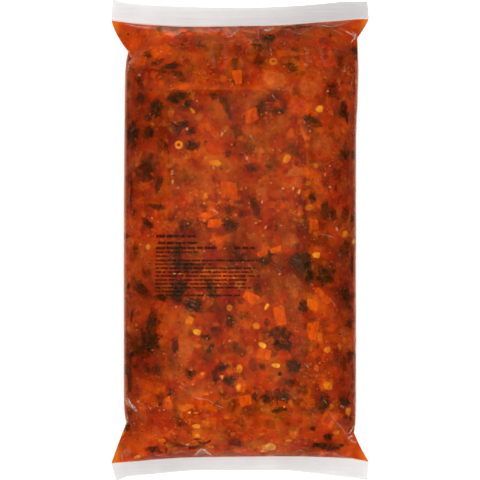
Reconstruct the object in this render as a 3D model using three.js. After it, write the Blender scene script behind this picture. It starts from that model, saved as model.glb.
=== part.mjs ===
// A clear film pillow bag filled with chunky vegetable soup, lying flat on its back.
// It is one closed solid: the filled body, the four flat corner ears and the two heat seals.
// Millimetres, +X across the bag, +Y towards its top seal, +Z up, origin under the bag's middle.
import * as THREE from "three";

const { clamp, lerp, smoothstep } = THREE.MathUtils;

// Driving dimensions
const flatWidth = 240; // the empty film tube lying flat, which is the width of both seals
const bagLength = 445; // over both seals
const fillHeight = 48; // the filled body at its middle
const sideHeight = 19; // height of the side fold along the filled body
const sealHeight = 13; // height of the line where the seals meet the body
const filmEdge = 0.8; // both films together at the seals and the side folds
const restShare = 0.94; // share of the underside's full depth at which it meets the table

// The heat seals, as distances in from the end of the bag. Their middles are drawn in by the fill.
const topSeal = { outerSag: 6.7, innerSag: 23.6, innerEnd: 17.4, outerCurve: 2, innerCurve: 2.2 };
const bottomSeal = { outerSag: 8.1, innerSag: 20.7, innerEnd: 14.5, outerCurve: 2.3, innerCurve: 3 };
const sealDroop = 4; // how far the free edge of a seal hangs below its inner line
const sealWave = 1.3; // height of the seals' slow waves

// The corner ears: each narrows from the seal's end to a pinched notch, where the round side begins.
// corner is half the width at the seal's free edge; run and notch are the notch's distance and half width.
const ears = {
  topLeft: { corner: 119, run: 34, notch: 103.8, recover: 8 },
  topRight: { corner: 119, run: 18.5, notch: 109.6, recover: 12 },
  bottomLeft: { corner: 115.4, run: 37.5, notch: 105.2, recover: 7 },
  bottomRight: { corner: 119, run: 29.5, notch: 107.4, recover: 9 },
};
const bodyHalf = { left: 108.1, right: 108.3 };
const shoulderBulge = 1.6; // the right side is a little fuller towards the top seal

// How the two films swell away from the seals and from the side folds
const upper = { run: 60, curve: 2.3, power: 0.85, side: 3.5, sidePower: 1 / 2.1 };
const lower = { run: 42, curve: 2.2, power: 0.8, side: 7, sidePower: 1 / 2 };
const earSide = 1.7; // the ears' flatter section
const earRun = { from: 6, to: 58 }; // where the ears' section turns into the body's

// Folds in the upper film, as lines from one point to another, with the depth and half width of the groove
const folds = [
  { from: [-103, 169], to: [-84, 190], depth: 5.5, width: 5 },
  { from: [110, 186], to: [86, 176], depth: 4.5, width: 5 },
  { from: [-107, -152], to: [-92, -166], depth: 5.5, width: 4.5 },
  { from: [107, -181], to: [84, -160], depth: 4.5, width: 4.5 },
  { from: [104, -188], to: [92, -196], depth: 3, width: 4.5 },
  { from: [-52, -138], to: [-14, -158], depth: 1.1, width: 4 },
];
// Short tucks that gather the wide seal into the narrower body: distance across and length of each
const topTucks = [[-88, 16], [-62, 20], [-33, 12], [-6, 18], [22, 26], [45, 14], [78, 20]];
const bottomTucks = [[-82, 15], [-55, 11], [-33, 16], [2, 10], [30, 13], [58, 18], [88, 14]];
const tuck = { depth: 3.2, width: 5.5 };

// Diced vegetables press gentle lumps into the film
const lumps = { count: 190, radius: [5, 10], height: [0.25, 0.9], seed: 2722 };

// Facets: around the upper and the lower film, and along the body
const upperSteps = 54;
const lowerSteps = 22;
const bodySteps = 64;
const sealSteps = 2;

function randomFrom(seed) {
  let state = seed;
  return () => {
    state = (state * 1664525 + 1013904223) % 4294967296;
    return state / 4294967296;
  };
}

// Distance from the end of the bag to a seal's free edge and inner line, at u from -1 to 1 across it
function sealLines(seal, u) {
  const outer = seal.outerSag * (1 - Math.abs(u) ** seal.outerCurve);
  const inner = lerp(seal.innerSag, seal.innerEnd, Math.abs(u) ** seal.innerCurve);
  return { outer, inner };
}

function innerTopY(u) {
  return bagLength / 2 - sealLines(topSeal, u).inner;
}

function innerBottomY(u) {
  return sealLines(bottomSeal, u).inner - bagLength / 2;
}

// Half the body's width on one side, with its distances from the two seals
function planHalf(side, fromTop, fromBottom) {
  const top = side < 0 ? ears.topLeft : ears.topRight;
  const bottom = side < 0 ? ears.bottomLeft : ears.bottomRight;
  if (fromTop < top.run) return lerp(flatWidth / 2, top.notch, fromTop / top.run);
  if (fromBottom < bottom.run) return lerp(flatWidth / 2, bottom.notch, fromBottom / bottom.run);
  let half = side < 0 ? bodyHalf.left : bodyHalf.right;
  if (side > 0) half += shoulderBulge * (1 - smoothstep(fromTop, 60, 170));
  const pinchTop = (half - top.notch) * Math.exp((top.run - fromTop) / top.recover);
  const pinchBottom = (half - bottom.notch) * Math.exp((bottom.run - fromBottom) / bottom.recover);
  return half - pinchTop - pinchBottom;
}

// How far a film has swollen, from 0 at its edges to 1, at a distance from the nearer seal
function swell(film, u, fromSeal) {
  const rise = (1 - (1 - clamp(fromSeal / film.run, 0, 1)) ** film.curve) ** film.power;
  const across = Math.abs(u);
  const ear = 1 - across ** earSide;
  const body = (1 - across ** film.side) ** film.sidePower;
  return rise * lerp(ear, body, smoothstep(fromSeal, earRun.from, earRun.to));
}

// Depth of a groove at a point, with its ends faded out
function grooveDepth(x, y, fold) {
  const [x0, y0] = fold.from;
  const along = [fold.to[0] - x0, fold.to[1] - y0];
  const lengthSquared = along[0] ** 2 + along[1] ** 2;
  const share = clamp(((x - x0) * along[0] + (y - y0) * along[1]) / lengthSquared, 0, 1);
  const away = Math.hypot(x - x0 - share * along[0], y - y0 - share * along[1]);
  return fold.depth * (1 - 0.75 * share) * Math.exp(-((away / fold.width) ** 2));
}

function tuckDepth(x, fromSeal, tucks) {
  let depth = 0;
  for (const [at, length] of tucks) {
    const width = tuck.width * (0.6 + fromSeal / length);
    const fade = Math.max(0, 1 - fromSeal / length);
    depth += tuck.depth * fade * Math.exp(-(((x - at) / width) ** 2));
  }
  return depth;
}

const lumpPlaces = (() => {
  const random = randomFrom(lumps.seed);
  return Array.from({ length: lumps.count }, () => ({
    x: lerp(-0.94, 0.94, random()) * bodyHalf.left,
    y: lerp(-0.95, 0.95, random()) * (bagLength / 2 - topSeal.innerSag),
    radius: lerp(...lumps.radius, random()),
    height: lerp(...lumps.height, random()),
  }));
})();

function lumpHeight(x, y) {
  let height = 0;
  for (const lump of lumpPlaces) {
    const away = ((x - lump.x) ** 2 + (y - lump.y) ** 2) / lump.radius ** 2;
    if (away < 6) height += lump.height * Math.exp(-away);
  }
  return Math.min(height, 1.2);
}

// A point of the body at u across it and at a share of the way from the bottom seal to the top seal
function bodyPoint(u, share, isUpper) {
  const side = u < 0 ? -1 : 1;
  const edgeSpan = innerTopY(side) - innerBottomY(side);
  const x = u * planHalf(side, (1 - share) * edgeSpan, share * edgeSpan);
  const y = lerp(innerBottomY(u), innerTopY(u), share);
  const nearTop = share > 0.5;
  const fromSeal = nearTop ? innerTopY(u) - y : y - innerBottomY(u);
  const seam = lerp(sealHeight, sideHeight, smoothstep(fromSeal, 0, 50));
  if (!isUpper) {
    const depth = swell(lower, u, fromSeal) / restShare;
    return [x, y, Math.max(0, (seam - filmEdge / 2) * (1 - depth))];
  }
  const full = swell(upper, u, fromSeal);
  const dents =
    tuckDepth(x, fromSeal, nearTop ? topTucks : bottomTucks) +
    folds.reduce((sum, fold) => sum + grooveDepth(x, y, fold), 0);
  const room = (fillHeight - seam - filmEdge / 2) * full;
  const relief = lumpHeight(x, y) * smoothstep(full, 0.3, 0.8);
  return [x, y, seam + filmEdge / 2 + Math.max(0, room - Math.min(dents, 0.75 * room)) + relief];
}

// A point of a seal at u across it and at a share of the way from its inner line to its free edge
function sealPoint(u, share, isTop, isUpper) {
  const seal = isTop ? topSeal : bottomSeal;
  const { outer, inner } = sealLines(seal, u);
  const end = isTop ? 1 : -1;
  const ear = ears[(isTop ? "top" : "bottom") + (u < 0 ? "Left" : "Right")];
  const y = end * (bagLength / 2 - lerp(inner, outer, share));
  const wave = sealWave * share * Math.sin(7 * u + (isTop ? 0.6 : 2.4));
  const z = sealHeight - sealDroop * share ** 1.5 + wave;
  return [u * lerp(flatWidth / 2, ear.corner, share), y, z + (isUpper ? 1 : -1) * (filmEdge / 2)];
}

// One closed loop round the bag: over the upper film from left to right, and back under the lower one
function loopOf(pointAt) {
  const loop = [];
  for (let i = 0; i <= upperSteps; i++) {
    loop.push(pointAt(-Math.cos((Math.PI * i) / upperSteps), true));
  }
  for (let i = lowerSteps; i >= 0; i--) {
    loop.push(pointAt(-Math.cos((Math.PI * i) / lowerSteps), false));
  }
  return loop;
}

function allLoops() {
  const loops = [];
  for (let i = sealSteps; i > 0; i--) {
    loops.push(loopOf((u, isUpper) => sealPoint(u, i / sealSteps, false, isUpper)));
  }
  for (let i = 0; i <= bodySteps; i++) {
    const even = i / bodySteps;
    const closerAtEnds = (1 - Math.cos(Math.PI * even)) / 2;
    const share = lerp(even, closerAtEnds, 0.55);
    loops.push(loopOf((u, isUpper) => bodyPoint(u, share, isUpper)));
  }
  for (let i = 1; i <= sealSteps; i++) {
    loops.push(loopOf((u, isUpper) => sealPoint(u, i / sealSteps, true, isUpper)));
  }
  return loops;
}

// Closes a seal's free edge: its upper and lower lines have different numbers of points
function edgeStrip(first, faces, facesOut) {
  const lowerLeft = first + upperSteps + 1 + lowerSteps;
  let i = 0;
  let j = 0;
  while (i < upperSteps || j < lowerSteps) {
    const stepUpper = i < upperSteps && (j === lowerSteps || (i + 1) / upperSteps <= (j + 1) / lowerSteps);
    const [a, b] = [first + i, lowerLeft - j];
    const c = stepUpper ? a + 1 : b - 1;
    faces.push(...(facesOut ? [a, c, b] : [a, b, c]));
    if (stepUpper) i += 1;
    else j += 1;
  }
}

function bagGeometry() {
  const loops = allLoops();
  const size = loops[0].length;
  const faces = [];
  for (let row = 0; row + 1 < loops.length; row++) {
    for (let i = 0; i < size; i++) {
      const next = (i + 1) % size;
      const [a, b, c, d] = [row * size + i, row * size + next, (row + 1) * size + next, (row + 1) * size + i];
      faces.push(a, b, c, a, c, d);
    }
  }
  edgeStrip(0, faces, false);
  edgeStrip((loops.length - 1) * size, faces, true);
  const geometry = new THREE.BufferGeometry();
  geometry.setAttribute("position", new THREE.Float32BufferAttribute(loops.flat(2), 3));
  geometry.setIndex(faces);
  geometry.computeVertexNormals();
  return geometry;
}

const soupInFilm = new THREE.MeshStandardMaterial({ color: 0xa63c14, roughness: 0.22, metalness: 0 });
const sealedBag = new THREE.Mesh(bagGeometry(), soupInFilm);
sealedBag.name = "sealed_bag";

const bag = new THREE.Group();
bag.add(sealedBag);

export default bag;
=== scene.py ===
import bpy
import math
import random
import numpy as np
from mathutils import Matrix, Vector
from mathutils.bvhtree import BVHTree


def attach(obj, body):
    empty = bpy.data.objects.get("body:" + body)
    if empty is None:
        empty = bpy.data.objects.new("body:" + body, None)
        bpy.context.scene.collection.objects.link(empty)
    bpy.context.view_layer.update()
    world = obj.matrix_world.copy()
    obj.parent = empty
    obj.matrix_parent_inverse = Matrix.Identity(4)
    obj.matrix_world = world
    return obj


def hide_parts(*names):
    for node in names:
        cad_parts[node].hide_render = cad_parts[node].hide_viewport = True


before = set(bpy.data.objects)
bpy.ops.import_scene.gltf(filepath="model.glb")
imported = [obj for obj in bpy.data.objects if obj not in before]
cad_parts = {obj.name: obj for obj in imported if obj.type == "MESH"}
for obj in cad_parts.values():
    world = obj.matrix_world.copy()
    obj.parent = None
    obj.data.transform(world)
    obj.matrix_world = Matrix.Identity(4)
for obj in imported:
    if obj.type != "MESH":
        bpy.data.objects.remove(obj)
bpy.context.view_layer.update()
scene = bpy.context.scene
mm = 0.001
print("frame loaded")

# Camera: straight above the bag, so that one photo pixel is 0.932 mm at the seals
shot = {
    "lens": 135,
    "sensor": 36,
    "imageSize": 480,
    "millimetresPerPixel": 0.932,
    "sealLevel": 14,
}
cameraHeight = shot["sealLevel"] + (
    shot["millimetresPerPixel"] * shot["imageSize"] * shot["lens"] / shot["sensor"]
)
cameraData = bpy.data.cameras.new("camera")
cameraData.lens = shot["lens"]
cameraData.sensor_width = shot["sensor"]
camera = bpy.data.objects.new("camera", cameraData)
camera.location = (0, 0, cameraHeight * mm)
scene.collection.objects.link(camera)
scene.camera = camera
scene.view_settings.view_transform = "Standard"


def underPixel(x, y, level):
    # Where a photo pixel falls on the plane at that level, in millimetres
    shrink = (cameraHeight - level) / (cameraHeight - shot["sealLevel"])
    scale = shot["millimetresPerPixel"] * shrink
    return (x - shot["imageSize"] / 2) * scale, (shot["imageSize"] / 2 - y) * scale


# Lights: a wide overhead one that the film mirrors, soft keys and small hard ones for the glints
studio = {
    "mirrored": {"at": (-0.049, 0.0, 1.68), "size": (1.076, 0.56), "radiance": 0.25},
    "overhead": {"at": (0.0, 0.0, 1.55), "size": (1.2, 1.5), "radiance": 4.0, "glossy": False},
    "key": {"out": (0.95, 0.95, 1.25), "size": (0.9, 0.9), "radiance": 2.0, "glossy": False},
    "glint": {"out": (1.2, 0.84, 0.75), "size": (0.16, 0.16), "radiance": 3.0},
    "horizon": 0.28,
    "zenith": 0.012,
    "skyRise": (0.03, 0.14),  # how far up the sky darkens
    "underneath": 0.25,
    "underRise": (-0.05, 0.0),
}


def areaLight(name, at, size, radiance, glossy=True):
    data = bpy.data.lights.new(name, "AREA")
    data.shape = "RECTANGLE"
    data.size, data.size_y = size
    data.energy = radiance * math.pi * size[0] * size[1]  # watts for that radiance
    lamp = bpy.data.objects.new(name, data)
    lamp.location = at
    aim = Vector((at[0], 0, 0)) if at[1] == 0 else Vector((0, 0, 0))
    lamp.rotation_mode = "QUATERNION"
    lamp.rotation_quaternion = (aim - Vector(at)).to_track_quat("-Z", "Y")
    lamp.visible_glossy = glossy
    scene.collection.objects.link(lamp)


areaLight("mirroredLight", **studio["mirrored"])
areaLight("overheadLight", **studio["overhead"])
for index, (sideX, sideY) in enumerate([(-1, 1), (1, 1), (1, -1), (-1, -1)]):
    for kind in ("key", "glint"):
        look = dict(studio[kind])
        outX, outY, height = look.pop("out")
        areaLight(f"{kind}Light{index}", (sideX * outX, sideY * outY, height), **look)
print("camera and lights made")


# Node helpers
def addNode(tree, kind, inputs=(), **settings):
    made = tree.nodes.new("ShaderNode" + kind)
    for name, value in settings.items():
        setattr(made, name, value)
    for name, value in dict(inputs).items():
        if isinstance(value, bpy.types.NodeSocket):
            tree.links.new(value, made.inputs[name])
        else:
            made.inputs[name].default_value = value
    return made


def math2(tree, operation, first, second=0.0, third=0.0):
    return addNode(tree, "Math", {0: first, 1: second, 2: third}, operation=operation).outputs[0]


def times(tree, *values):
    product = values[0]
    for value in values[1:]:
        product = math2(tree, "MULTIPLY", product, value)
    return product


def mixColours(tree, factor, first, second, blend="MIX"):
    # second is a socket or three numbers
    if isinstance(second, tuple):
        second = (*second, 1)
    values = {0: factor, 6: first, 7: second}
    return addNode(tree, "Mix", values, data_type="RGBA", blend_type=blend).outputs[2]


def remap(tree, value, low, high, toLow=0.0, toHigh=1.0):
    values = {0: value, 1: low, 2: high, 3: toLow, 4: toHigh}
    return addNode(tree, "MapRange", values, interpolation_type="SMOOTHSTEP").outputs[0]


def ramp(tree, value, stops, kind="LINEAR"):
    made = addNode(tree, "ValToRGB", {0: value})
    made.color_ramp.interpolation = kind
    elements = made.color_ramp.elements
    while len(elements) < len(stops):
        elements.new(0.5)
    for element, (position, colour) in zip(elements, stops):
        element.position = position
        element.color = (*colour, 1)
    return made.outputs[0]


def grey(tree, value):
    return addNode(tree, "CombineColor", {0: value, 1: value, 2: value}).outputs[0]


def attribute(tree, name):
    return addNode(tree, "Attribute", attribute_name=name).outputs["Fac"]


def objectPlace(tree):
    return addNode(tree, "TexCoord").outputs["Object"]


def split(tree, place):
    return addNode(tree, "SeparateXYZ", {0: place}).outputs


def stretch(tree, place, scale):
    return addNode(tree, "Mapping", {"Vector": place, "Scale": scale}).outputs[0]


def noise(tree, place, scale, detail=2.0, roughness=0.5, output=0):
    values = {"Vector": place, "Scale": scale, "Detail": detail, "Roughness": roughness}
    return addNode(tree, "TexNoise", values).outputs[output]


def bump(tree, height, strength, distance):
    values = {"Height": height, "Strength": strength, "Distance": distance}
    return addNode(tree, "Bump", values).outputs[0]


def diffuse(tree, colour):
    return addNode(tree, "BsdfDiffuse", {"Color": colour}).outputs[0]


def mixShaders(tree, factor, first, second):
    return addNode(tree, "MixShader", {0: factor, 1: first, 2: second}).outputs[0]


def seeThrough(tree, amount, shader):
    return mixShaders(tree, amount, addNode(tree, "BsdfTransparent").outputs[0], shader)


def newMaterial(name):
    material = bpy.data.materials.new(name)
    material.use_nodes = True
    material.node_tree.nodes.clear()
    return material, material.node_tree


def setSurface(tree, shader):
    addNode(tree, "OutputMaterial", {"Surface": shader})


# World: a pale studio, bright round the horizon and dark overhead
world = bpy.data.worlds.new("studio")
world.use_nodes = True
scene.world = world
tree = world.node_tree
tree.nodes.clear()
upward = split(tree, addNode(tree, "TexCoord").outputs["Generated"])[2]
skyLight = remap(tree, upward, *studio["skyRise"], studio["horizon"], studio["zenith"])
underLight = remap(tree, upward, *studio["underRise"], studio["underneath"], 1)
backdrop = addNode(tree, "Background", {"Color": grey(tree, times(tree, skyLight, underLight))})
addNode(tree, "OutputWorld", {"Surface": backdrop.outputs[0]})

# Floor: a white light table, so that the bag throws almost no shadow
table = {
    "reach": 8,
    "level": -0.0004,
    "grain": 40,
    "tones": [(0.3, (0.8, 0.8, 0.8)), (0.7, (0.84, 0.84, 0.84))],
    "glow": 0.45,
}
floorMaterial, tree = newMaterial("whiteTable")
tone = ramp(tree, noise(tree, objectPlace(tree), table["grain"]), table["tones"])
surface = addNode(tree, "BsdfPrincipled", {"Base Color": tone, "Roughness": 0.9, "Specular IOR Level": 0.1})
surface.inputs["Emission Color"].default_value = (1, 1, 1, 1)
surface.inputs["Emission Strength"].default_value = table["glow"]
setSurface(tree, surface.outputs[0])
floorMesh = bpy.data.meshes.new("floor")
floorCorners = [
    (x * table["reach"], y * table["reach"], table["level"])
    for x, y in ((-1, -1), (1, -1), (1, 1), (-1, 1))
]
floorMesh.from_pydata(floorCorners, [], [(0, 1, 2, 3)])
floorMesh.materials.append(floorMaterial)
floor = bpy.data.objects.new("floor", floorMesh)
floor.visible_glossy = False  # the table would veil the sides of the film
scene.collection.objects.link(floor)
print("studio made")

# The bag's shape in millimetres: the CAD solid's, with an outline that follows the photo a little closer
bag = {
    "flatWidth": 240,
    "length": 445,
    "fillHeight": 48,
    "sideHeight": 19,
    "sealHeight": 13,
    "seamRun": 50,  # how far from the seals the seam along the sides keeps rising
    "filmEdge": 0.8,
    "restShare": 0.94,
    "topSeal": {"outerSag": 6.7, "innerSag": 23.6, "innerEnd": 17.4, "outerCurve": 2, "innerCurve": 2.2},
    "bottomSeal": {"outerSag": 8.1, "innerSag": 20.7, "innerEnd": 14.5, "outerCurve": 2.3, "innerCurve": 3},
    # how much further out each line of the seals runs, at places from the left end, -1, to the right, 1
    "topOuterDrift": [
        (-1, 2.2), (-0.92, 0.5), (-0.75, 0), (-0.35, 1.4), (0.15, 1.1), (0.5, 1.9), (0.8, 2.7), (1, 0.1),
    ],
    "topInnerDrift": [
        (-1, -0.8), (-0.85, -1.7), (-0.45, -1.6), (0, 0), (0.3, 0.1), (0.6, 1.4), (0.9, 1.5), (1, 0.5),
    ],
    "bottomOuterDrift": [
        (-1, 2.4), (-0.92, -0.2), (-0.7, 0.9), (-0.35, 0.2), (0, 1.1), (0.35, 0.2), (0.7, 1.6), (1, 1.6),
    ],
    "bottomInnerDrift": [
        (-1, -0.3), (-0.8, 0.8), (-0.4, 0), (0, -0.3), (0.4, -1), (0.7, -1.8), (0.87, -2.8), (1, -1.8),
    ],
    "sealDroop": 4,
    "sealWave": 1.3,
    "sealWavePitch": 7,
    "topWavePhase": 0.6,
    "bottomWavePhase": 2.4,
    "bodyHalf": (108.1, 108),  # left and right, and how much wider each shoulder is
    "shoulderBulge": (-0.95, 2.2),
    "shoulderRun": ((40, 200), (45, 120)),
    "upper": {"run": 60, "curve": 2.3, "power": 0.85, "side": 3.5, "sidePower": 1 / 2.1},
    "lower": {"run": 42, "curve": 2.2, "power": 0.8, "side": 7, "sidePower": 1 / 2},
    "earSide": 1.7,
    "earRun": (6, 58),
}
ears = {
    "topLeft": {"corner": 119, "run": 29, "notch": 104, "recover": 10, "bow": 2},
    "topRight": {"corner": 119, "run": 17.5, "notch": 109.3, "recover": 12, "bow": 0.7},
    "bottomLeft": {"corner": 115.4, "run": 38.3, "notch": 105.6, "recover": 7, "bow": 0.2},
    "bottomRight": {"corner": 119, "run": 26.8, "notch": 106.3, "recover": 9, "bow": -0.8},
}


def lerp(a, b, share):
    return a + (b - a) * share


def smooth(x, low, high):
    share = np.clip((x - low) / (high - low), 0, 1)
    return share * share * (3 - 2 * share)


def sealLines(end, u):
    # How far in from the ends the free edge and the inner line of a seal run, at u from -1 to 1 across
    seal = bag[end + "Seal"]
    outer = seal["outerSag"] * (1 - np.abs(u) ** seal["outerCurve"])
    inner = lerp(seal["innerSag"], seal["innerEnd"], np.abs(u) ** seal["innerCurve"])
    outer = outer - np.interp(u, *zip(*bag[end + "OuterDrift"]))
    inner = inner - np.interp(u, *zip(*bag[end + "InnerDrift"]))
    return outer, inner


def innerTopY(u):
    return bag["length"] / 2 - sealLines("top", u)[1]


def innerBottomY(u):
    return sealLines("bottom", u)[1] - bag["length"] / 2


def earEdge(ear, fromEnd):
    share = fromEnd / ear["run"]
    return lerp(bag["flatWidth"] / 2, ear["notch"], share) + ear["bow"] * 4 * share * (1 - share)


def halfWidth(u, fromTop, fromBottom):
    width = np.zeros(np.broadcast(u, fromTop).shape)
    for side, names in enumerate((("topLeft", "bottomLeft"), ("topRight", "bottomRight"))):
        top, bottom = ears[names[0]], ears[names[1]]
        shoulder = 1 - smooth(fromTop, *bag["shoulderRun"][side])
        half = bag["bodyHalf"][side] + bag["shoulderBulge"][side] * shoulder
        pinchTop = (half - top["notch"]) * np.exp((top["run"] - fromTop) / top["recover"])
        pinchBottom = (half - bottom["notch"]) * np.exp((bottom["run"] - fromBottom) / bottom["recover"])
        middle = half - pinchTop - pinchBottom
        ends = np.where(fromBottom < bottom["run"], earEdge(bottom, fromBottom), middle)
        here = np.where(fromTop < top["run"], earEdge(top, fromTop), ends)
        width = np.where((u >= 0) == bool(side), here, width)
    return width


def swell(half, u, fromSeal):
    # How full the upper or lower half of the bag is, from 0 at its seam to 1
    rise = (1 - (1 - np.clip(fromSeal / half["run"], 0, 1)) ** half["curve"]) ** half["power"]
    across = np.abs(u)
    ear = 1 - across ** bag["earSide"]
    body = (1 - across ** half["side"]) ** half["sidePower"]
    return rise * lerp(ear, body, smooth(fromSeal, *bag["earRun"]))


# Film relief: corner folds, tucks along the seals, slow waves. Grooves are positive depths.
relief = {
    "folds": [
        {"from": (-103, 169), "to": (-84, 190), "depth": 5.5, "width": 5},
        {"from": (110, 186), "to": (86, 176), "depth": 4.5, "width": 5},
        {"from": (-107, -152), "to": (-92, -166), "depth": 5.5, "width": 4.5},
        {"from": (107, -181), "to": (84, -160), "depth": 4.5, "width": 4.5},
        {"from": (104, -188), "to": (92, -196), "depth": 3, "width": 4.5},
    ],
    "foldFade": 0.75,
    "topTucks": [(-88, 16), (-62, 20), (-33, 12), (-6, 18), (22, 26), (45, 14), (78, 20)],
    "bottomTucks": [(-82, 15), (-55, 11), (-33, 16), (2, 10), (30, 13), (58, 18), (88, 14)],
    "tuckDepth": 3.2,
    "tuckWidth": 5.5,
    "tuckNeck": 0.6,
    "deepestShare": 0.75,  # of the room between the film and the seam
    "waves": {"count": 14, "length": (26, 60), "height": 0.035, "rise": (0.3, 0.8), "seed": 5},
}


def grooveDepth(x, y, fold):
    x0, y0 = fold["from"]
    alongX, alongY = fold["to"][0] - x0, fold["to"][1] - y0
    share = np.clip(((x - x0) * alongX + (y - y0) * alongY) / (alongX**2 + alongY**2), 0, 1)
    away = np.hypot(x - x0 - share * alongX, y - y0 - share * alongY)
    return fold["depth"] * (1 - relief["foldFade"] * share) * np.exp(-((away / fold["width"]) ** 2))


def tuckDepth(x, fromSeal, tucks):
    depth = 0
    for at, length in tucks:
        width = relief["tuckWidth"] * (relief["tuckNeck"] + fromSeal / length)
        fade = np.maximum(0, 1 - fromSeal / length)
        depth = depth + relief["tuckDepth"] * fade * np.exp(-(((x - at) / width) ** 2))
    return depth


def slowWaves(x, y):
    waves = relief["waves"]
    chance = random.Random(waves["seed"])
    height = 0
    for _ in range(waves["count"]):
        turn = chance.uniform(0, math.pi)
        pitch = 2 * math.pi / chance.uniform(*waves["length"])
        phase = chance.uniform(0, 6.28)
        height = height + np.sin(pitch * (x * math.cos(turn) + y * math.sin(turn)) + phase)
    return waves["height"] * height


def bodyPoint(u, share, isUpper):
    # u runs across from -1 to 1 and share along from the near seal to the far one
    edgeSpan = innerTopY(1.0) - innerBottomY(1.0)
    x = u * halfWidth(u, (1 - share) * edgeSpan, share * edgeSpan)
    y = lerp(innerBottomY(u), innerTopY(u), share)
    nearTop = share > 0.5
    fromSeal = np.where(nearTop, innerTopY(u) - y, y - innerBottomY(u))
    seam = lerp(bag["sealHeight"], bag["sideHeight"], smooth(fromSeal, 0, bag["seamRun"]))
    if not isUpper:
        depth = swell(bag["lower"], u, fromSeal) / bag["restShare"]
        z = np.maximum(0, (seam - bag["filmEdge"] / 2) * (1 - depth))
        return np.stack(np.broadcast_arrays(x, y, z), -1)
    full = swell(bag["upper"], u, fromSeal)
    topTucks = tuckDepth(x, fromSeal, relief["topTucks"])
    dents = np.where(nearTop, topTucks, tuckDepth(x, fromSeal, relief["bottomTucks"]))
    for fold in relief["folds"]:
        dents = dents + grooveDepth(x, y, fold)
    room = (bag["fillHeight"] - seam - bag["filmEdge"] / 2) * full
    lift = np.maximum(0, room - np.minimum(dents, relief["deepestShare"] * room))
    waves = slowWaves(x, y) * smooth(full, *relief["waves"]["rise"])
    return np.stack(np.broadcast_arrays(x, y, seam + bag["filmEdge"] / 2 + lift + waves), -1)


def sealPoint(u, share, end, isUpper):
    # share runs from the inner line of the seal to its free edge
    outer, inner = sealLines(end, u)
    left, right = ears[end + "Left"]["corner"], ears[end + "Right"]["corner"]
    x = u * lerp(bag["flatWidth"] / 2, np.where(u < 0, left, right), share)
    y = (1 if end == "top" else -1) * (bag["length"] / 2 - lerp(inner, outer, share))
    wave = bag["sealWave"] * share * np.sin(bag["sealWavePitch"] * u + bag[end + "WavePhase"])
    z = bag["sealHeight"] - bag["sealDroop"] * share**1.5 + wave
    z = z + (1 if isUpper else -1) * (1 - share**4) * bag["filmEdge"] / 2  # welded at the free edge
    return np.stack(np.broadcast_arrays(x, y, z), -1)


def stepsAcross(steps):
    return -np.cos(np.pi * np.arange(steps + 1) / steps)[None, :]


def stepsAlong(steps, crowding=0.55):
    even = np.arange(steps + 1) / steps
    return lerp(even, (1 - np.cos(np.pi * even)) / 2, crowding)[:, None]


def addPiece(name, points, faces, material, attributes=()):
    mesh = bpy.data.meshes.new(name)
    mesh.from_pydata((np.asarray(points) * mm).tolist(), [], faces)
    for attributeName, values in dict(attributes).items():
        layer = mesh.attributes.new(attributeName, "FLOAT", "POINT")
        layer.data.foreach_set("value", np.asarray(values, np.float32))
    mesh.materials.append(material)
    mesh.shade_smooth()
    piece = bpy.data.objects.new(name, mesh)
    scene.collection.objects.link(piece)
    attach(piece, "root")
    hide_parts("sealed_bag")
    print(name, len(faces), "faces")
    return piece


def loopFaces(rows, size, closedLoop=True):
    columns = size if closedLoop else size - 1
    row, column = np.meshgrid(np.arange(rows - 1), np.arange(columns), indexing="ij")
    following = (column + 1) % size
    here, above = row * size, (row + 1) * size
    corners = [here + column, here + following, above + following, above + column]
    return np.stack(corners, -1).reshape(-1, 4)


def closeLoop(upper, lower):
    return np.concatenate([upper, lower[:, ::-1]], 1)


# Soup: the broth with everything that lies too deep to be seen sharply
soup = {
    "steps": (150, 200),
    "gap": 0.45,  # under the film, or this share of the fill's thickness where that is less
    "gapShare": 0.3,
    "underSeal": 0.6,
    "sideGap": (0.25, 0.5),  # the flat edge of film outside the soup, left and right
    "sideGapRun": (20, 45),
    "leastSideGap": 0.15,
    # where the fill is thin: across the bag, from the seals, and how thick
    "ear": {"across": (0.72, 0.9), "along": (22, 44)},
    "tip": {"across": (0.9, 0.995), "along": (2, 20), "thick": (0.3, 5)},
    "nearLeftTip": {"along": (2, 34), "thick": (0.3, 10)},
    # painted light along the left rim of the broth: its strength and reach
    "paintedLeftRimLight": {"strength": 0.8, "reach": (0.3, 3)},
    "flesh": {"roughness": 0.55, "gloss": 0.08, "glow": 0.25, "radius": (1.0, 0.25, 0.08), "depth": 0.004},
}


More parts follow.
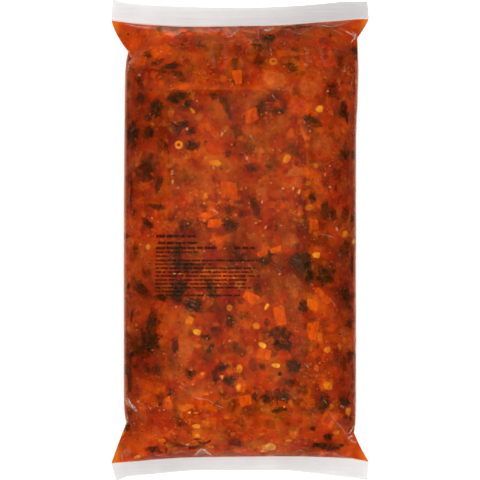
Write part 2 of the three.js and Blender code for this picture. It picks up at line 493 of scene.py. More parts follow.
def soupShape():
    u, share = stepsAcross(soup["steps"][0]), stepsAlong(soup["steps"][1])
    upper, lower = bodyPoint(u, share, True), bodyPoint(u, share, False)
    thick = upper[..., 2] - lower[..., 2]
    gap = np.minimum(soup["gap"], soup["gapShare"] * thick)
    upper[..., 2] -= gap
    lower[..., 2] += gap
    loops, thick, uLoop = closeLoop(upper, lower), closeLoop(thick, thick), closeLoop(u, u)
    fromEnd = np.minimum(share, 1 - share) * bag["length"]
    sideGap = np.where(uLoop < 0, *soup["sideGap"]) * smooth(fromEnd, *soup["sideGapRun"])
    half = np.abs(loops[..., 0]).max(1, keepdims=True)
    loops[..., 0] *= 1 - (sideGap + soup["leastSideGap"]) / half
    # Thin fill lets light through: painted light makes the ears bright and their tips yellow, and a painted
    # bright rim runs down the left side
    across = np.abs(uLoop)
    inEar = smooth(across, *soup["ear"]["across"]) * (1 - smooth(fromEnd, *soup["ear"]["along"]))
    atTip = smooth(across, *soup["tip"]["across"])
    nearLeft = (share < 0.5) & (uLoop < 0)
    tips = []
    for tip in (soup["nearLeftTip"], soup["tip"]):
        tips.append(atTip * (1 - smooth(fromEnd, *tip["along"])) * (1 - smooth(thick, *tip["thick"])))
    inTip = np.where(nearLeft, *tips)
    rim = soup["paintedLeftRimLight"]
    paintedLeftRimLight = rim["strength"] * (1 - smooth((1 + uLoop) * bag["bodyHalf"][0], *rim["reach"]))
    thinFillAndRimLight = np.maximum(0.5 * (inEar + inTip), paintedLeftRimLight)
    rows, size = thick.shape
    for row, end in ((0, -1), (rows - 1, 1)):
        loops[row, :, 1] += end * soup["underSeal"]
        loops[row, :, 2] = bag["sealHeight"]
    return loops.reshape(-1, 3), loopFaces(rows, size).tolist(), thinFillAndRimLight.ravel()


# Broad clearer and dimmer places in the broth: place in photo pixels, size in millimetres across and
# along, turn in degrees and strength, which is below 0 where it is dimmer
clouds = {
    "level": 44,
    "upperSide": (10, 22),
    "contrasts": (1.66, 1.82, 1.8),
    "atPhotoPixels": [
        (338, 258, 58, 60, 0, -0.9), (300, 272, 60, 30, 0, -0.7), (150, 114, 50, 44, 0, -0.75),
        (180, 132, 36, 20, 0, -0.5), (200, 108, 60, 20, 0, -0.4), (200, 44, 40, 22, 0, -0.85),
        (240, 56, 18, 18, 0, -0.8), (176, 70, 50, 10, 0, -0.5), (311, 62, 24, 20, 0, -0.65),
        (342, 150, 24, 24, 0, -0.6), (340, 212, 40, 30, 0, -0.75), (176, 258, 30, 44, 0, -0.9),
        (238, 245, 44, 36, 0, -0.7), (192, 232, 26, 14, 0, -0.6), (175, 296, 56, 24, -10, -0.8),
        (158, 322, 14, 16, 0, -0.8), (141, 352, 36, 18, -10, -1.0), (206, 300, 30, 30, 0, -0.6),
        (298, 313, 26, 14, 0, -0.5), (345, 372, 20, 46, 0, -0.65), (304, 391, 18, 28, 0, -0.5),
        (250, 412, 60, 26, -10, -0.65), (296, 368, 40, 24, 15, -0.5), (342, 404, 26, 20, 0, -0.7),
        (130, 430, 26, 30, 0, -0.8), (320, 448, 40, 10, -10, -0.7), (312, 432, 20, 14, 0, -0.6),
        (247, 96, 14, 22, 0, -0.6), (286, 108, 20, 26, 0, -0.5), (228, 150, 24, 30, 0, -0.6),
        (338, 96, 24, 26, 0, -0.6), (262, 180, 60, 50, 0, -0.45), (138, 36, 36, 16, 0, -0.5),
        (354, 46, 22, 56, 0, -0.6), (165, 190, 28, 22, 0, -0.5), (195, 172, 16, 30, 0, -0.6),
        (264, 282, 14, 50, 0, -0.6), (236, 300, 12, 50, 0, -0.4), (172, 332, 50, 34, 0, -0.45),
        (235, 354, 18, 16, 0, -0.8), (192, 448, 48, 9, 0, -0.4), (132, 388, 18, 24, 0, -0.5),
        (294, 75, 18, 18, 0, -0.6), (177, 222, 14, 22, 0, -0.8), (318, 186, 26, 18, 0, -0.6),
        (286, 222, 24, 20, 0, -0.5), (180, 28, 76, 12, 0, 1.5), (222, 30, 40, 10, 0, 0.6),
        (248, 37, 24, 20, 0, 1.2), (134, 56, 24, 36, 0, 0.7), (179, 50, 44, 30, 0, 0.7),
        (208, 70, 30, 16, 0, 0.8), (150, 74, 30, 20, 0, 0.5), (178, 85, 90, 14, 0, 0.5),
        (126, 88, 12, 22, 0, 0.7), (278, 82, 34, 22, 0, 0.75), (322, 112, 40, 20, 0, 0.5),
        (322, 152, 50, 62, 0, 0.65), (352, 118, 14, 30, 0, 0.5), (348, 78, 24, 36, 0, 0.5),
        (328, 50, 16, 44, 0, 0.45), (190, 146, 34, 12, 0, 0.5), (130, 165, 26, 34, 0, 1.0),
        (148, 164, 22, 22, 0, 0.6), (138, 181, 14, 12, 0, 0.9), (214, 201, 42, 38, 0, 1.05),
        (187, 206, 26, 16, 0, 1.5), (297, 200, 54, 30, 0, 1.1), (130, 215, 26, 40, 0, 0.5),
        (149, 228, 40, 26, 0, 1.0), (335, 234, 60, 14, 0, 0.7), (216, 242, 30, 12, 0, 0.6),
        (268, 248, 14, 32, 0, 0.6), (312, 254, 20, 12, 0, 1.2), (128, 268, 18, 34, 0, 0.8),
        (140, 284, 18, 22, 0, 0.7), (128, 316, 14, 56, 0, 0.8), (224, 285, 22, 42, 0, 0.95),
        (198, 298, 22, 12, 0, 1.6), (272, 330, 16, 22, 0, 0.8), (300, 336, 44, 34, 0, 0.5),
        (350, 344, 16, 18, 0, 0.9), (354, 304, 10, 50, 0, 0.5), (230, 336, 60, 16, 0, 0.5),
        (190, 346, 22, 30, 0, 0.7), (226, 366, 22, 20, 0, 0.6), (241, 392, 20, 16, 0, 0.7),
        (208, 381, 70, 16, 0, 0.9), (188, 390, 26, 20, 0, 0.5), (318, 380, 34, 46, 0, 0.75),
        (334, 416, 16, 34, -10, 1.0), (156, 394, 36, 28, 0, 0.65), (196, 420, 40, 26, 15, 0.8),
        (240, 426, 20, 24, 0, 0.5), (262, 453, 90, 12, 0, 1.0), (306, 442, 26, 16, 0, 0.8),
        (152, 452, 30, 14, 0, 0.8), (345, 455, 50, 12, 0, 0.8), (290, 322, 16, 22, 0, -0.6),
        (201, 221, 12, 14, 0, 1.0), (302, 127, 28, 14, 0, 0.6), (280, 216, 26, 12, 0, 0.6),
        (201, 36, 24, 12, 0, -0.8), (168, 412, 36, 24, 0, 0.4), (165, 437, 50, 14, 0, 1.0),
        (205, 404, 50, 26, 0, 0.4), (237, 185, 18, 14, 0, -0.6), (334, 289, 20, 16, 0, -1.0),
        (253, 36, 14, 20, 0, 0.6), (303, 66, 16, 26, 0, 0.5), (297, 104, 22, 14, 0, 0.6),
        (340, 148, 22, 28, 0, -0.4), (190, 362, 16, 26, 0, 0.5), (140, 96, 36, 30, 0, -0.3),
        (166, 29, 26, 8, 0, 1.0), (356, 390, 8, 40, 0, 0.6), (257, 392, 30, 30, 0, -0.35),
        (183, 369, 18, 30, 0, -0.5), (120, 446, 14, 26, 0, 0.8),
    ],
}


def cloudsAt(points):
    total = np.zeros(len(points))
    for pixelX, pixelY, across, along, turn, strength in clouds["atPhotoPixels"]:
        c, s = math.cos(math.radians(turn)), math.sin(math.radians(turn))
        middleX, middleY = underPixel(pixelX, pixelY, clouds["level"])
        x, y = points[:, 0] - middleX, points[:, 1] - middleY
        away = ((x * c + y * s) * 2 / across) ** 2 + ((y * c - x * s) * 2 / along) ** 2
        total += strength * np.exp(-away)
    return total * smooth(points[:, 2], *clouds["upperSide"])


# Colour of the broth at any place, and how much painted shade darkens what lies towards the sides of the
# bag
broth = {
    "dark": (0.085, 0.0085, 0.0016),
    "middle": (0.31, 0.028, 0.0018),
    "bright": (0.57, 0.062, 0.0022),
    "thinFillAndRimLight": (0.64, 0.155, 0.011),
    "warp": 0.012,
    "hues": [(0.36, (1, 0.57, 0.9)), (0.5, (1, 0.96, 1)), (0.64, (0.96, 1.6, 2.2))],
    "chunks": {12.5: 0.5, 6.4: 0.42, 3.5: 0.24},  # size in millimetres, and strength
    "chunkColours": [
        (0.0, (0.025, 0.008, 0.0015)),
        (0.22, (0.17, 0.016, 0.0015)),
        (0.42, (0.36, 0.034, 0.0015)),
        (0.62, (0.62, 0.08, 0.002)),
        (0.8, (0.4, 0.075, 0.004)),
        (0.93, (0.66, 0.16, 0.008)),
    ],
    "speckSize": 2.6,
    "speckStrength": 0.5,
    "speckKinds": [((0.72, 0.8), (0.05, 0.015, 0.006)), ((0.86, 0.92), (0.72, 0.28, 0.07))],
    # painted shade on the flat top and painted light in the band round it
    "flatTop": {
        "low": (-66, -142),
        "high": (60.5, 137),
        "cutAcross": (0.952, 0.305, 0),
        "cut": 83.6,
        "dim": (0.93, 0.93, 0.93),
        "band": 8,
        "clear": 0.5,
        "paintedBandLight": (0.66, 0.1, 0.007),
    },
    # painted shade towards the sides: its strength, colour and tint
    "sideShade": 0.36,
    "paintedSideShadeColour": (0.09, 0.007, 0.002),
    "paintedSideShadeTint": (1, 0.84, 0.92),
}


def mottledBroth(tree, place):
    drift = noise(tree, place, 60, 2, output="Color")
    drift = addNode(tree, "VectorMath", {0: drift, 1: (0.5, 0.5, 0.5)}, operation="SUBTRACT").outputs[0]
    drift = addNode(tree, "VectorMath", {0: drift, "Scale": broth["warp"]}, operation="SCALE").outputs[0]
    warped = addNode(tree, "VectorMath", {0: place, 1: drift}, operation="ADD").outputs[0]
    tones = [(0.34, broth["dark"]), (0.49, broth["middle"]), (0.65, broth["bright"])]
    colour = ramp(tree, noise(tree, place, 22, 6, 0.64), tones)
    hue = ramp(tree, noise(tree, warped, 48, 4, 0.62), broth["hues"])
    colour = mixColours(tree, 1.0, colour, hue, "MULTIPLY")
    for size, amount in broth["chunks"].items():
        values = {"Vector": warped, "Scale": 1 / (size * mm), "Smoothness": 0.2}
        cells = addNode(tree, "TexVoronoi", values, feature="SMOOTH_F1")
        chance = addNode(tree, "SeparateColor", {0: cells.outputs["Color"]}).outputs
        own = ramp(tree, chance[0], broth["chunkColours"], "CONSTANT")
        inside = remap(tree, cells.outputs["Distance"], 0.3, 0.58, 1, 0)
        picked = remap(tree, chance[1], 0.25, 0.75)
        colour = mixColours(tree, times(tree, inside, picked, amount), colour, own)
    specks = addNode(tree, "TexVoronoi", {"Vector": warped, "Scale": 1 / (broth["speckSize"] * mm)})
    chance = addNode(tree, "SeparateColor", {0: specks.outputs["Color"]}).outputs
    dot = remap(tree, specks.outputs["Distance"], 0.12, 0.3, 1, 0)
    for channel, (limits, own) in enumerate(broth["speckKinds"]):
        amount = times(tree, dot, remap(tree, chance[channel], *limits), broth["speckStrength"])
        colour = mixColours(tree, amount, colour, own)
    return colour


def paintedFlatTopLight(tree, place, colour):
    # The film lies flat against the fill on top. Painted shade and light: the broth is painted dimmer
    # there, where the film mirrors the overhead light, and painted brighter in the band round it
    flatTop = broth["flatTop"]
    x, y, z = split(tree, place)
    sides = []
    for along, low, high in zip((x, y), flatTop["low"], flatTop["high"]):
        off = math2(tree, "ABSOLUTE", math2(tree, "SUBTRACT", along, (low + high) / 2 * mm))
        sides.append(math2(tree, "SUBTRACT", off, (high - low) / 2 * mm))
    outside = math2(tree, "MAXIMUM", *sides)
    # Its far right corner is cut off
    slanted = addNode(tree, "VectorMath", {0: place, 1: flatTop["cutAcross"]}, operation="DOT_PRODUCT")
    cut = math2(tree, "SUBTRACT", slanted.outputs["Value"], flatTop["cut"] * mm)
    outside = math2(tree, "MAXIMUM", outside, cut)
    onTop = remap(tree, z, 0.034, 0.043)
    inFlat = times(tree, remap(tree, outside, 0, 0.0012, 1, 0), onTop)
    fromFlat = remap(tree, outside, -0.0005, 0.001)
    inBand = times(tree, fromFlat, remap(tree, outside, 0, flatTop["band"] * mm, 1, 0), onTop)
    mottle = remap(tree, noise(tree, place, 35, 3), 0.42, 0.62, 0.15, 1)
    farEnd = remap(tree, y, -0.02, 0.1, 0.25, 1)
    clear = times(tree, inBand, times(tree, mottle, farEnd), flatTop["clear"])
    colour = mixColours(tree, clear, colour, flatTop["paintedBandLight"])
    return mixColours(tree, inFlat, colour, flatTop["dim"], "MULTIPLY")


def brothGroup():
    tree = bpy.data.node_groups.new("brothColour", "ShaderNodeTree")
    tree.interface.new_socket("Color", in_out="OUTPUT", socket_type="NodeSocketColor")
    tree.interface.new_socket("Shade", in_out="OUTPUT", socket_type="NodeSocketFloat")
    output = tree.nodes.new("NodeGroupOutput")
    place = objectPlace(tree)
    x, y = split(tree, place)[:2]
    colour = paintedFlatTopLight(tree, place, mottledBroth(tree, place))
    # A little duller towards the far end and clearer at the near end
    farTone = remap(tree, y, 0.145, 0.16, 1, 0.9)
    farLeft = remap(tree, x, -0.01, 0.03, 1, 0)
    farthestTone = math2(tree, "MULTIPLY_ADD", remap(tree, y, 0.168, 0.188, 0, 0.3), farLeft, 1)
    nearTone = remap(tree, y, -0.15, -0.14, 1.1, 1)
    endTone = grey(tree, times(tree, farTone, farthestTone, nearTone))
    colour = mixColours(tree, 1.0, colour, endTone, "MULTIPLY")
    broken = remap(tree, noise(tree, place, 75, 3, 0.6), 0.32, 0.68, 0.5, 1.5)
    cloud = times(tree, attribute(tree, "cloud"), broken)
    cloudTones = [math2(tree, "POWER", contrast, cloud) for contrast in clouds["contrasts"]]
    cloudShade = addNode(tree, "CombineColor", dict(enumerate(cloudTones))).outputs[0]
    colour = mixColours(tree, 1.0, colour, cloudShade, "MULTIPLY")
    # Painted shade: the broth is darkened and reddened towards the sides of the bag, where little light
    # comes back
    fromMiddle = math2(tree, "ABSOLUTE", math2(tree, "SUBTRACT", x, 0.004))
    fromMiddle = math2(tree, "MULTIPLY_ADD", noise(tree, place, 28, 2), 0.03, fromMiddle)
    fromSeals = remap(tree, math2(tree, "ABSOLUTE", y), 0.14, 0.185, 1, 0.15)
    sideShade = times(tree, remap(tree, fromMiddle, 0.082, 0.118, 0, broth["sideShade"]), fromSeals)
    colour = mixColours(tree, sideShade, colour, broth["paintedSideShadeColour"])
    colour = mixColours(tree, remap(tree, fromMiddle, 0.075, 0.095), colour, broth["paintedSideShadeTint"], "MULTIPLY")
    # Painted light: thin fill and the left rim are brightened towards yellow
    thinFillAndRimLight = attribute(tree, "thinFillAndRimLight")
    colour = mixColours(tree, remap(tree, thinFillAndRimLight, 0, 0.5, 0, 0.36), colour, broth["bright"])
    colour = mixColours(tree, remap(tree, thinFillAndRimLight, 0.5, 1, 0, 0.8), colour, broth["thinFillAndRimLight"])
    tree.links.new(colour, output.inputs[0])
    tree.links.new(sideShade, output.inputs[1])
    return tree


brothTree = brothGroup()


def brothHere(tree):
    return addNode(tree, "Group", node_tree=brothTree).outputs


def foodShader(tree, colour, normal, roughness, gloss, glow, radius, depth):
    # glow is how much light spreads under the surface, radius how far for each colour, depth in metres
    values = {"Base Color": colour, "Roughness": roughness, "Normal": normal}
    surface = addNode(tree, "BsdfPrincipled", values)
    surface.inputs["Specular IOR Level"].default_value = gloss
    surface.inputs["Subsurface Weight"].default_value = glow
    surface.inputs["Subsurface Radius"].default_value = radius
    surface.inputs["Subsurface Scale"].default_value = depth
    return surface.outputs[0]


def soupMaterial():
    material, tree = newMaterial("brothAndVegetables")
    pebbles = bump(tree, noise(tree, objectPlace(tree), 260, 3), 0.25, 0.001)
    setSurface(tree, foodShader(tree, brothHere(tree)[0], pebbles, **soup["flesh"]))
    return material


soupPoints, soupFaces, soupThin = soupShape()
soupAttributes = {"thinFillAndRimLight": soupThin, "cloud": cloudsAt(soupPoints)}
addPiece("soupBody", soupPoints, soupFaces, soupMaterial(), soupAttributes)

# Film: both films of the pouch with their heat seals, as one closed thin skin
film = {
    "steps": (220, 44, 280),
    "sealSteps": 10,
    "mostMirror": 0.023,
    "bloom": 0.02,
    "sealWhites": [(0.3, (0.72, 0.71, 0.705)), (0.7, (0.825, 0.815, 0.81))],
    "warmReflectionTone": (0.86, 0.62, 0.47),
    # pale band under each seal: partly pucker haze, partly painted reflection
    "pucker": 0.4,
    "puckerReach": 2.4,
    "puckerEnds": (0.8, 0.95),
    # painted sheen along the sides of the film
    "sheen": 0.95,
    "sheenColour": (0.9, 0.5, 0.34, 1),
    "sheenAngles": (0.4, 0.8),
    "sheenAcross": (0.86, 0.95),
    "sheenAlong": (22, 40),
    "uneven": {"share": 0.12, "lengths": (7.3, 19)},
    "gatherEdge": (-0.3, 0.8),
    "gatherHaze": (0.55, 0.45),  # at its top, and how much more at its lower edge
    # far or near end, place across, half width, depth and haze, in millimetres
    "gathers": [
        (1, -63, 11, 8.6, 0.62), (1, -90, 18, 3.2, 0.4), (1, -30, 24, 4.8, 0.5), (1, -7.5, 7.5, 8.4, 0.6),
        (1, 26, 6, 4.4, 0.6), (1, 50, 18, 3.2, 0.26), (1, 82, 20, 4.4, 0.3), (1, -104, 14, 3, 0.08),
        (-1, -34, 9, 7.5, 0.72), (-1, -70, 9, 3, 0.45), (-1, 33, 13, 3.2, 0.4), (-1, 84, 17, 3.6, 0.3),
        (-1, -4, 18, 2.6, 0.3),
    ],
}


def filmShape():
    upperSteps, lowerSteps, bodySteps = film["steps"]
    sealShare = (np.arange(1, film["sealSteps"] + 1) / film["sealSteps"])[:, None]
    points, milkAndPaintedReflection, sideSheens = [], [], []
    for isUpper, u in ((True, stepsAcross(upperSteps)), (False, stepsAcross(lowerSteps))):
        bottom = sealPoint(u, sealShare[::-1], "bottom", isUpper)
        body = bodyPoint(u, stepsAlong(bodySteps), isUpper)
        top = sealPoint(u, sealShare, "top", isUpper)
        points.append(np.concatenate([bottom, body, top]))
        sealed = np.ones((film["sealSteps"], u.shape[1]))
        x, y, across = body[..., 0], body[..., 1], np.abs(u)
        fromSeal = np.minimum(innerTopY(u) - y, y - innerBottomY(u))
        puckerAndGatherReflection = film["pucker"] * np.exp(-fromSeal / film["puckerReach"])
        puckerAndGatherReflection = puckerAndGatherReflection * (1 - smooth(across, *film["puckerEnds"]))
        # Small gathers hang from the seals, hazy where the film is doubled. Their haze, and the pale band
        # along each seal, are partly doubled film and partly painted reflection
        for end, at, half, depth, hazeAndPaintedLight in film["gathers"]:
            scallop = depth * np.sqrt(np.clip(1 - ((x - at) / half) ** 2, 0, 1))
            inside = smooth(scallop - fromSeal, *film["gatherEdge"])
            inside = inside * (film["gatherHaze"][0] + film["gatherHaze"][1] * fromSeal / depth)
            puckerAndGatherReflection = np.maximum(puckerAndGatherReflection, hazeAndPaintedLight * inside * (end * y > 0))
        milkAndPaintedReflection.append(np.concatenate([sealed, puckerAndGatherReflection, sealed]))
        # Painted sheen: the sides get a warm pale colour at low angles, a little uneven along their length
        uneven, (short, long) = film["uneven"]["share"], film["uneven"]["lengths"]
        paintedSideSheen = 1 - uneven + uneven * np.sin(y / short) * np.sin(y / long)
        paintedSideSheen = paintedSideSheen * smooth(across, *film["sheenAcross"]) * smooth(fromSeal, *film["sheenAlong"])
        sideSheens.append(np.concatenate([0 * sealed, paintedSideSheen, 0 * sealed]))
    loops, hazeAndPaintedLight, paintedSideSheen = closeLoop(*points), closeLoop(*milkAndPaintedReflection), closeLoop(*sideSheens)
    attributes = {"milkAndPaintedReflection": hazeAndPaintedLight.ravel(), "paintedSideSheen": paintedSideSheen.ravel()}
    return loops.reshape(-1, 3), loopFaces(*hazeAndPaintedLight.shape).tolist(), attributes


def filmMaterial():
    material, tree = newMaterial("clearFilm")
    place = objectPlace(tree)
    x, y = split(tree, place)[:2]
    clear = addNode(tree, "BsdfTransparent", {"Color": (0.985, 0.985, 0.985, 1)})
    shine = addNode(tree, "BsdfGlossy", {"Color": (1, 1, 1, 1), "Roughness": 0.06})
    rim = addNode(tree, "Fresnel", {"IOR": 1.33}).outputs[0]
    front = math2(tree, "SUBTRACT", 1, addNode(tree, "NewGeometry").outputs["Backfacing"])
    mirror = times(tree, math2(tree, "MINIMUM", rim, film["mostMirror"]), front)
    mixed = mixShaders(tree, mirror, clear.outputs[0], shine.outputs[0])
    # The heat seals are milky, with fine lines from the sealing jaws
    sealed = attribute(tree, "milkAndPaintedReflection")
    jawLines = noise(tree, stretch(tree, place, (14, 420, 14)), 1, 3)
    patches = noise(tree, place, 18, 2)
    cloud = math2(tree, "ADD", times(tree, jawLines, 0.3), times(tree, patches, 0.7))
    white = ramp(tree, cloud, film["sealWhites"])
    # Each seal is a little greyer towards one side
    diagonal = times(tree, x, math2(tree, "SIGN", y))
    thinnest = remap(tree, y, -0.1, 0.1, 0.97, 0.8)
    greyerToOneSide = addNode(tree, "MapRange", {0: diagonal, 1: -0.03, 2: 0.12, 3: 1.04, 4: thinnest}).outputs[0]
    white = mixColours(tree, 1.0, white, grey(tree, greyerToOneSide), "MULTIPLY")
    # and the painted reflection in the gathers is warmed by the soup
    white = mixColours(tree, remap(tree, sealed, 0.65, 0.95, 1, 0), white, film["warmReflectionTone"])
    through = addNode(tree, "BsdfTranslucent", {"Color": white}).outputs[0]
    milk = mixShaders(tree, 0.5, diffuse(tree, white), through)
    amount = times(tree, sealed, remap(tree, cloud, 0.2, 0.8, 0.5, 0.72))
    bloom = noise(tree, stretch(tree, place, (1, 0.45, 1)), 150, 5, 0.7)
    amount = math2(tree, "MAXIMUM", amount, remap(tree, bloom, 0.42, 0.72, 0, film["bloom"]))
    mixed = mixShaders(tree, amount, mixed, milk)
    # Painted sheen: a warm diffuse colour mixed in at low angles along the sides
    facing = addNode(tree, "LayerWeight", {"Blend": 0.5}).outputs["Facing"]
    paintedSideSheen = times(tree, attribute(tree, "paintedSideSheen"), remap(tree, facing, *film["sheenAngles"]))
    sheen = times(tree, paintedSideSheen, film["sheen"], remap(tree, patches, 0.3, 0.7, 0.45, 0.72))
    setSurface(tree, mixShaders(tree, sheen, mixed, diffuse(tree, film["sheenColour"])))
    return material


filmPoints, filmFaces, filmAttributes = filmShape()
addPiece("film", filmPoints, filmFaces, filmMaterial(), filmAttributes)


# Places on the bag: a pixel of the photo, or a chance spot anywhere on the film round the soup
filmTree = BVHTree.FromPolygons(filmPoints.tolist(), filmFaces)
cameraPlace = Vector((0, 0, cameraHeight))
spotLimits = {
    "box": ((-150, 150), (-215, 215), (-40, 100)),
    "fromEnd": 27,
    "largeFromEnd": 46,
    # which way the film faces: 1 is straight up and -1 straight down
    "anywhere": (-1.0, 1.0),
    "onTop": (0.7, 1.0),
    "offTop": (-1.0, 0.62),
    "upward": (0.3, 1.0),
}


def onFilm(pixelX, pixelY):
    aim = Vector((*underPixel(pixelX, pixelY, shot["sealLevel"]), shot["sealLevel"]))
    return filmTree.ray_cast(cameraPlace, (aim - cameraPlace).normalized())[:2]


def onFilmNear(points):
    return [filmTree.find_nearest(point)[:2] for point in points]


def chanceSpots(count, chance, where="anywhere", fromEnd=spotLimits["fromEnd"]):
    spots = []
    lowest, highest = spotLimits[where]
    while len(spots) < count:
        start = Vector([chance.uniform(*limits) for limits in spotLimits["box"]])
        place, normal = filmTree.find_nearest(start)[:2]
        if abs(place.y) < bag["length"] / 2 - fromEnd and lowest <= normal.z <= highest:
            spots.append((place, normal))
    return spots


def chanceSize(chance, across, along, thickness):
    return chance.uniform(*across), chance.uniform(*along), thickness


# Templates, 2 across and with their tops at 0: their points, faces and how far out each point lies
def boxTemplate(steps, roundness):
    points, faces, found = [], [], {}
    ticks = np.linspace(-1, 1, steps + 1)
    for axis, side in [(axis, side) for axis in range(3) for side in (-1, 1)]:
        for i, j in [(i, j) for i in range(steps) for j in range(steps)]:
            face = []
            for di, dj in ((0, 0), (1, 0), (1, 1), (0, 1)):
                corner = [0, 0, 0]
                corner[axis] = side
                corner[(axis + 1) % 3] = ticks[i + di]
                corner[(axis + 2) % 3] = ticks[j + dj]
                name = tuple(round(float(value), 4) for value in corner)
                if name not in found:
                    found[name] = len(points)
                    reach = sum(abs(value) ** roundness for value in corner) ** (1 / roundness)
                    points.append([value / reach for value in corner])
                face.append(found[name])
            faces.append(face if side > 0 else face[::-1])
    points = np.array(points)
    rim = np.maximum(np.abs(points[:, 0]), np.abs(points[:, 1]))
    rim = np.where(points[:, 2] < 0, 1, rim)
    points[:, 2] -= 1
    return points, faces, rim


def discTemplate(rings, spokes):
    # The outermost ring dips, so that the edge lies under the broth
    points, rim = [(0, 0, 0)], [0]
    for ring in range(1, rings + 1):
        out = math.sin(math.pi / 2 * ring / rings)
        for spoke in range(spokes):
            turn = 2 * math.pi * (spoke + 0.5 * (ring % 2)) / spokes
            points.append((out * math.cos(turn), out * math.sin(turn), -0.6 * (ring == rings)))
            rim.append(out)
    faces = [[0, 1 + i, 1 + (i + 1) % spokes] for i in range(spokes)]
    for ring in range(rings - 1):
        inner, outer = 1 + ring * spokes, 1 + (ring + 1) * spokes
        for i in range(spokes):
            j = (i + 1) % spokes
            faces.append([inner + i, outer + i, outer + j, inner + j])
    under, last = len(points), 1 + (rings - 1) * spokes
    points.append((0, 0, -1))
    rim.append(1)
    faces += [[under, last + (i + 1) % spokes, last + i] for i in range(spokes)]
    return np.array(points, float), faces, np.array(rim)


def ringTemplate(hole, spokes=20, sides=8):
    points, rim = [], []
    for spoke in range(spokes):
        turn = 2 * math.pi * spoke / spokes
        for side in range(sides):
            lean = 2 * math.pi * side / sides
            out = (1 + hole) / 2 + (1 - hole) / 2 * math.cos(lean)
            points.append((out * math.cos(turn), out * math.sin(turn), math.sin(lean) - 1))
            rim.append(0.2 if math.sin(lean) > -0.1 else 1)
    faces = loopFaces(spokes + 1, sides) % (spokes * sides)
    return np.array(points), faces.tolist(), np.array(rim)


templates = {
    "dice": boxTemplate(6, 7),
    "bead": boxTemplate(3, 2.1),
    "kernel": boxTemplate(5, 2.3),
    "leaf": discTemplate(7, 24),
    "slab": discTemplate(7, 20),
    "flake": discTemplate(2, 7),
    "ring": ringTemplate(0.28),
}
lostEdges = 1.22  # the rounded edges of dice and kernels are lost in the broth, so they are made larger


# Forms shape a template's points once they have their size. All but the kernel's are drawn by chance.
def diceForm(chance, corners=None):
    # corners are four photo pixels, the near left one first and then anticlockwise
    wobble = [(chance.uniform(-0.12, 0.12), chance.uniform(-0.12, 0.12)) for _ in range(4)]
    middle = [sum(corner[axis] for corner in corners) / 4 for axis in (0, 1)] if corners else None
    scale = lostEdges * shot["millimetresPerPixel"]

    def form(local, size):
        right, far = local[:, 0] / size[0] + 0.5, local[:, 1] / size[1] + 0.5
        weights = [(1 - right) * (1 - far), right * (1 - far), right * far, (1 - right) * far]
        if corners:
            local[:, 0] = sum(weight * (x - middle[0]) * scale for weight, (x, y) in zip(weights, corners))
            local[:, 1] = sum(weight * (middle[1] - y) * scale for weight, (x, y) in zip(weights, corners))
            return local
        local[:, 0] += sum(weight * x * size[0] for weight, (x, y) in zip(weights, wobble))
        local[:, 1] += sum(weight * y * size[1] for weight, (x, y) in zip(weights, wobble))
        return local

    return form


def kernelForm(local, size):
    # A sweet corn kernel: broad crown at +x, narrowing to its tip
    along = local[:, 0] / size[0] * 2
    local[:, 1] *= 0.82 + 0.3 * along
    local[:, 2] -= 0.5 * np.maximum(0, -along - 0.4) * size[2] * 0.5
    return local


def waveReach(turn, waves):
    return 1 + sum(height * np.cos(k * turn + phase) for k, height, phase in waves)


def leafForm(chance, ragged=0.3, crumple=0.14):
    waves = []
    for k in (2, 3, 5, 7, 9):
        waves.append((k, chance.uniform(0.3, 1) * ragged / k**0.6, chance.uniform(0, 6.28)))
    folds = [(chance.uniform(0, 3.14), chance.uniform(0.4, 1.3), chance.uniform(0, 6.28)) for _ in range(4)]

    def form(local, size):
        turn = np.arctan2(local[:, 1] / size[1], local[:, 0] / size[0])
        local[:, :2] *= np.clip(waveReach(turn, waves), 0.45, 1.5)[:, None]
        rough = sum(
            np.sin(pitch * (local[:, 0] * math.cos(way) + local[:, 1] * math.sin(way)) + phase)
            for way, pitch, phase in folds
        )
        local[:, 2] -= crumple * np.clip(0.5 + 0.25 * rough, 0, 1)
        return local

    return form


def slabForm(chance, sides=0):
    # A flat slice: round, or with a few blunt corners
    start = chance.uniform(0, 6.28)
    wobble = [(k, chance.uniform(0.01, 0.05), chance.uniform(0, 6.28)) for k in (2, 3, 4)]

    def form(local, size):
        turn = np.arctan2(local[:, 1] / size[1], local[:, 0] / size[0])
        reach = waveReach(turn, wobble)
        if sides:
            step = 2 * math.pi / sides
            inside = (turn + start) % step - step / 2
            reach = reach * lerp(1, math.cos(step / 2) / np.cos(inside) * 1.12, 0.85)
        out = np.hypot(local[:, 0] / size[0], local[:, 1] / size[1]) * 2
        local[:, :2] *= reach[:, None]
        local[:, 2] -= 0.3 * out**4
        return local

    return form


# How pieces lie in the broth, in millimetres
sinking = {
    "nearest": 0.05,  # depth of a clear piece, and how much deeper a faint one lies
    "deeper": 0.33,
    "roomShare": 0.6,  # of the bag's thickness that a piece may take up
    "leastRoom": 2,
    "fadeDepth": (0.12, 0.4),
    "fade": 0.9,
}


def newBatch():
    return {"points": [], "faces": [], "show": [], "clear": [], "tint": []}


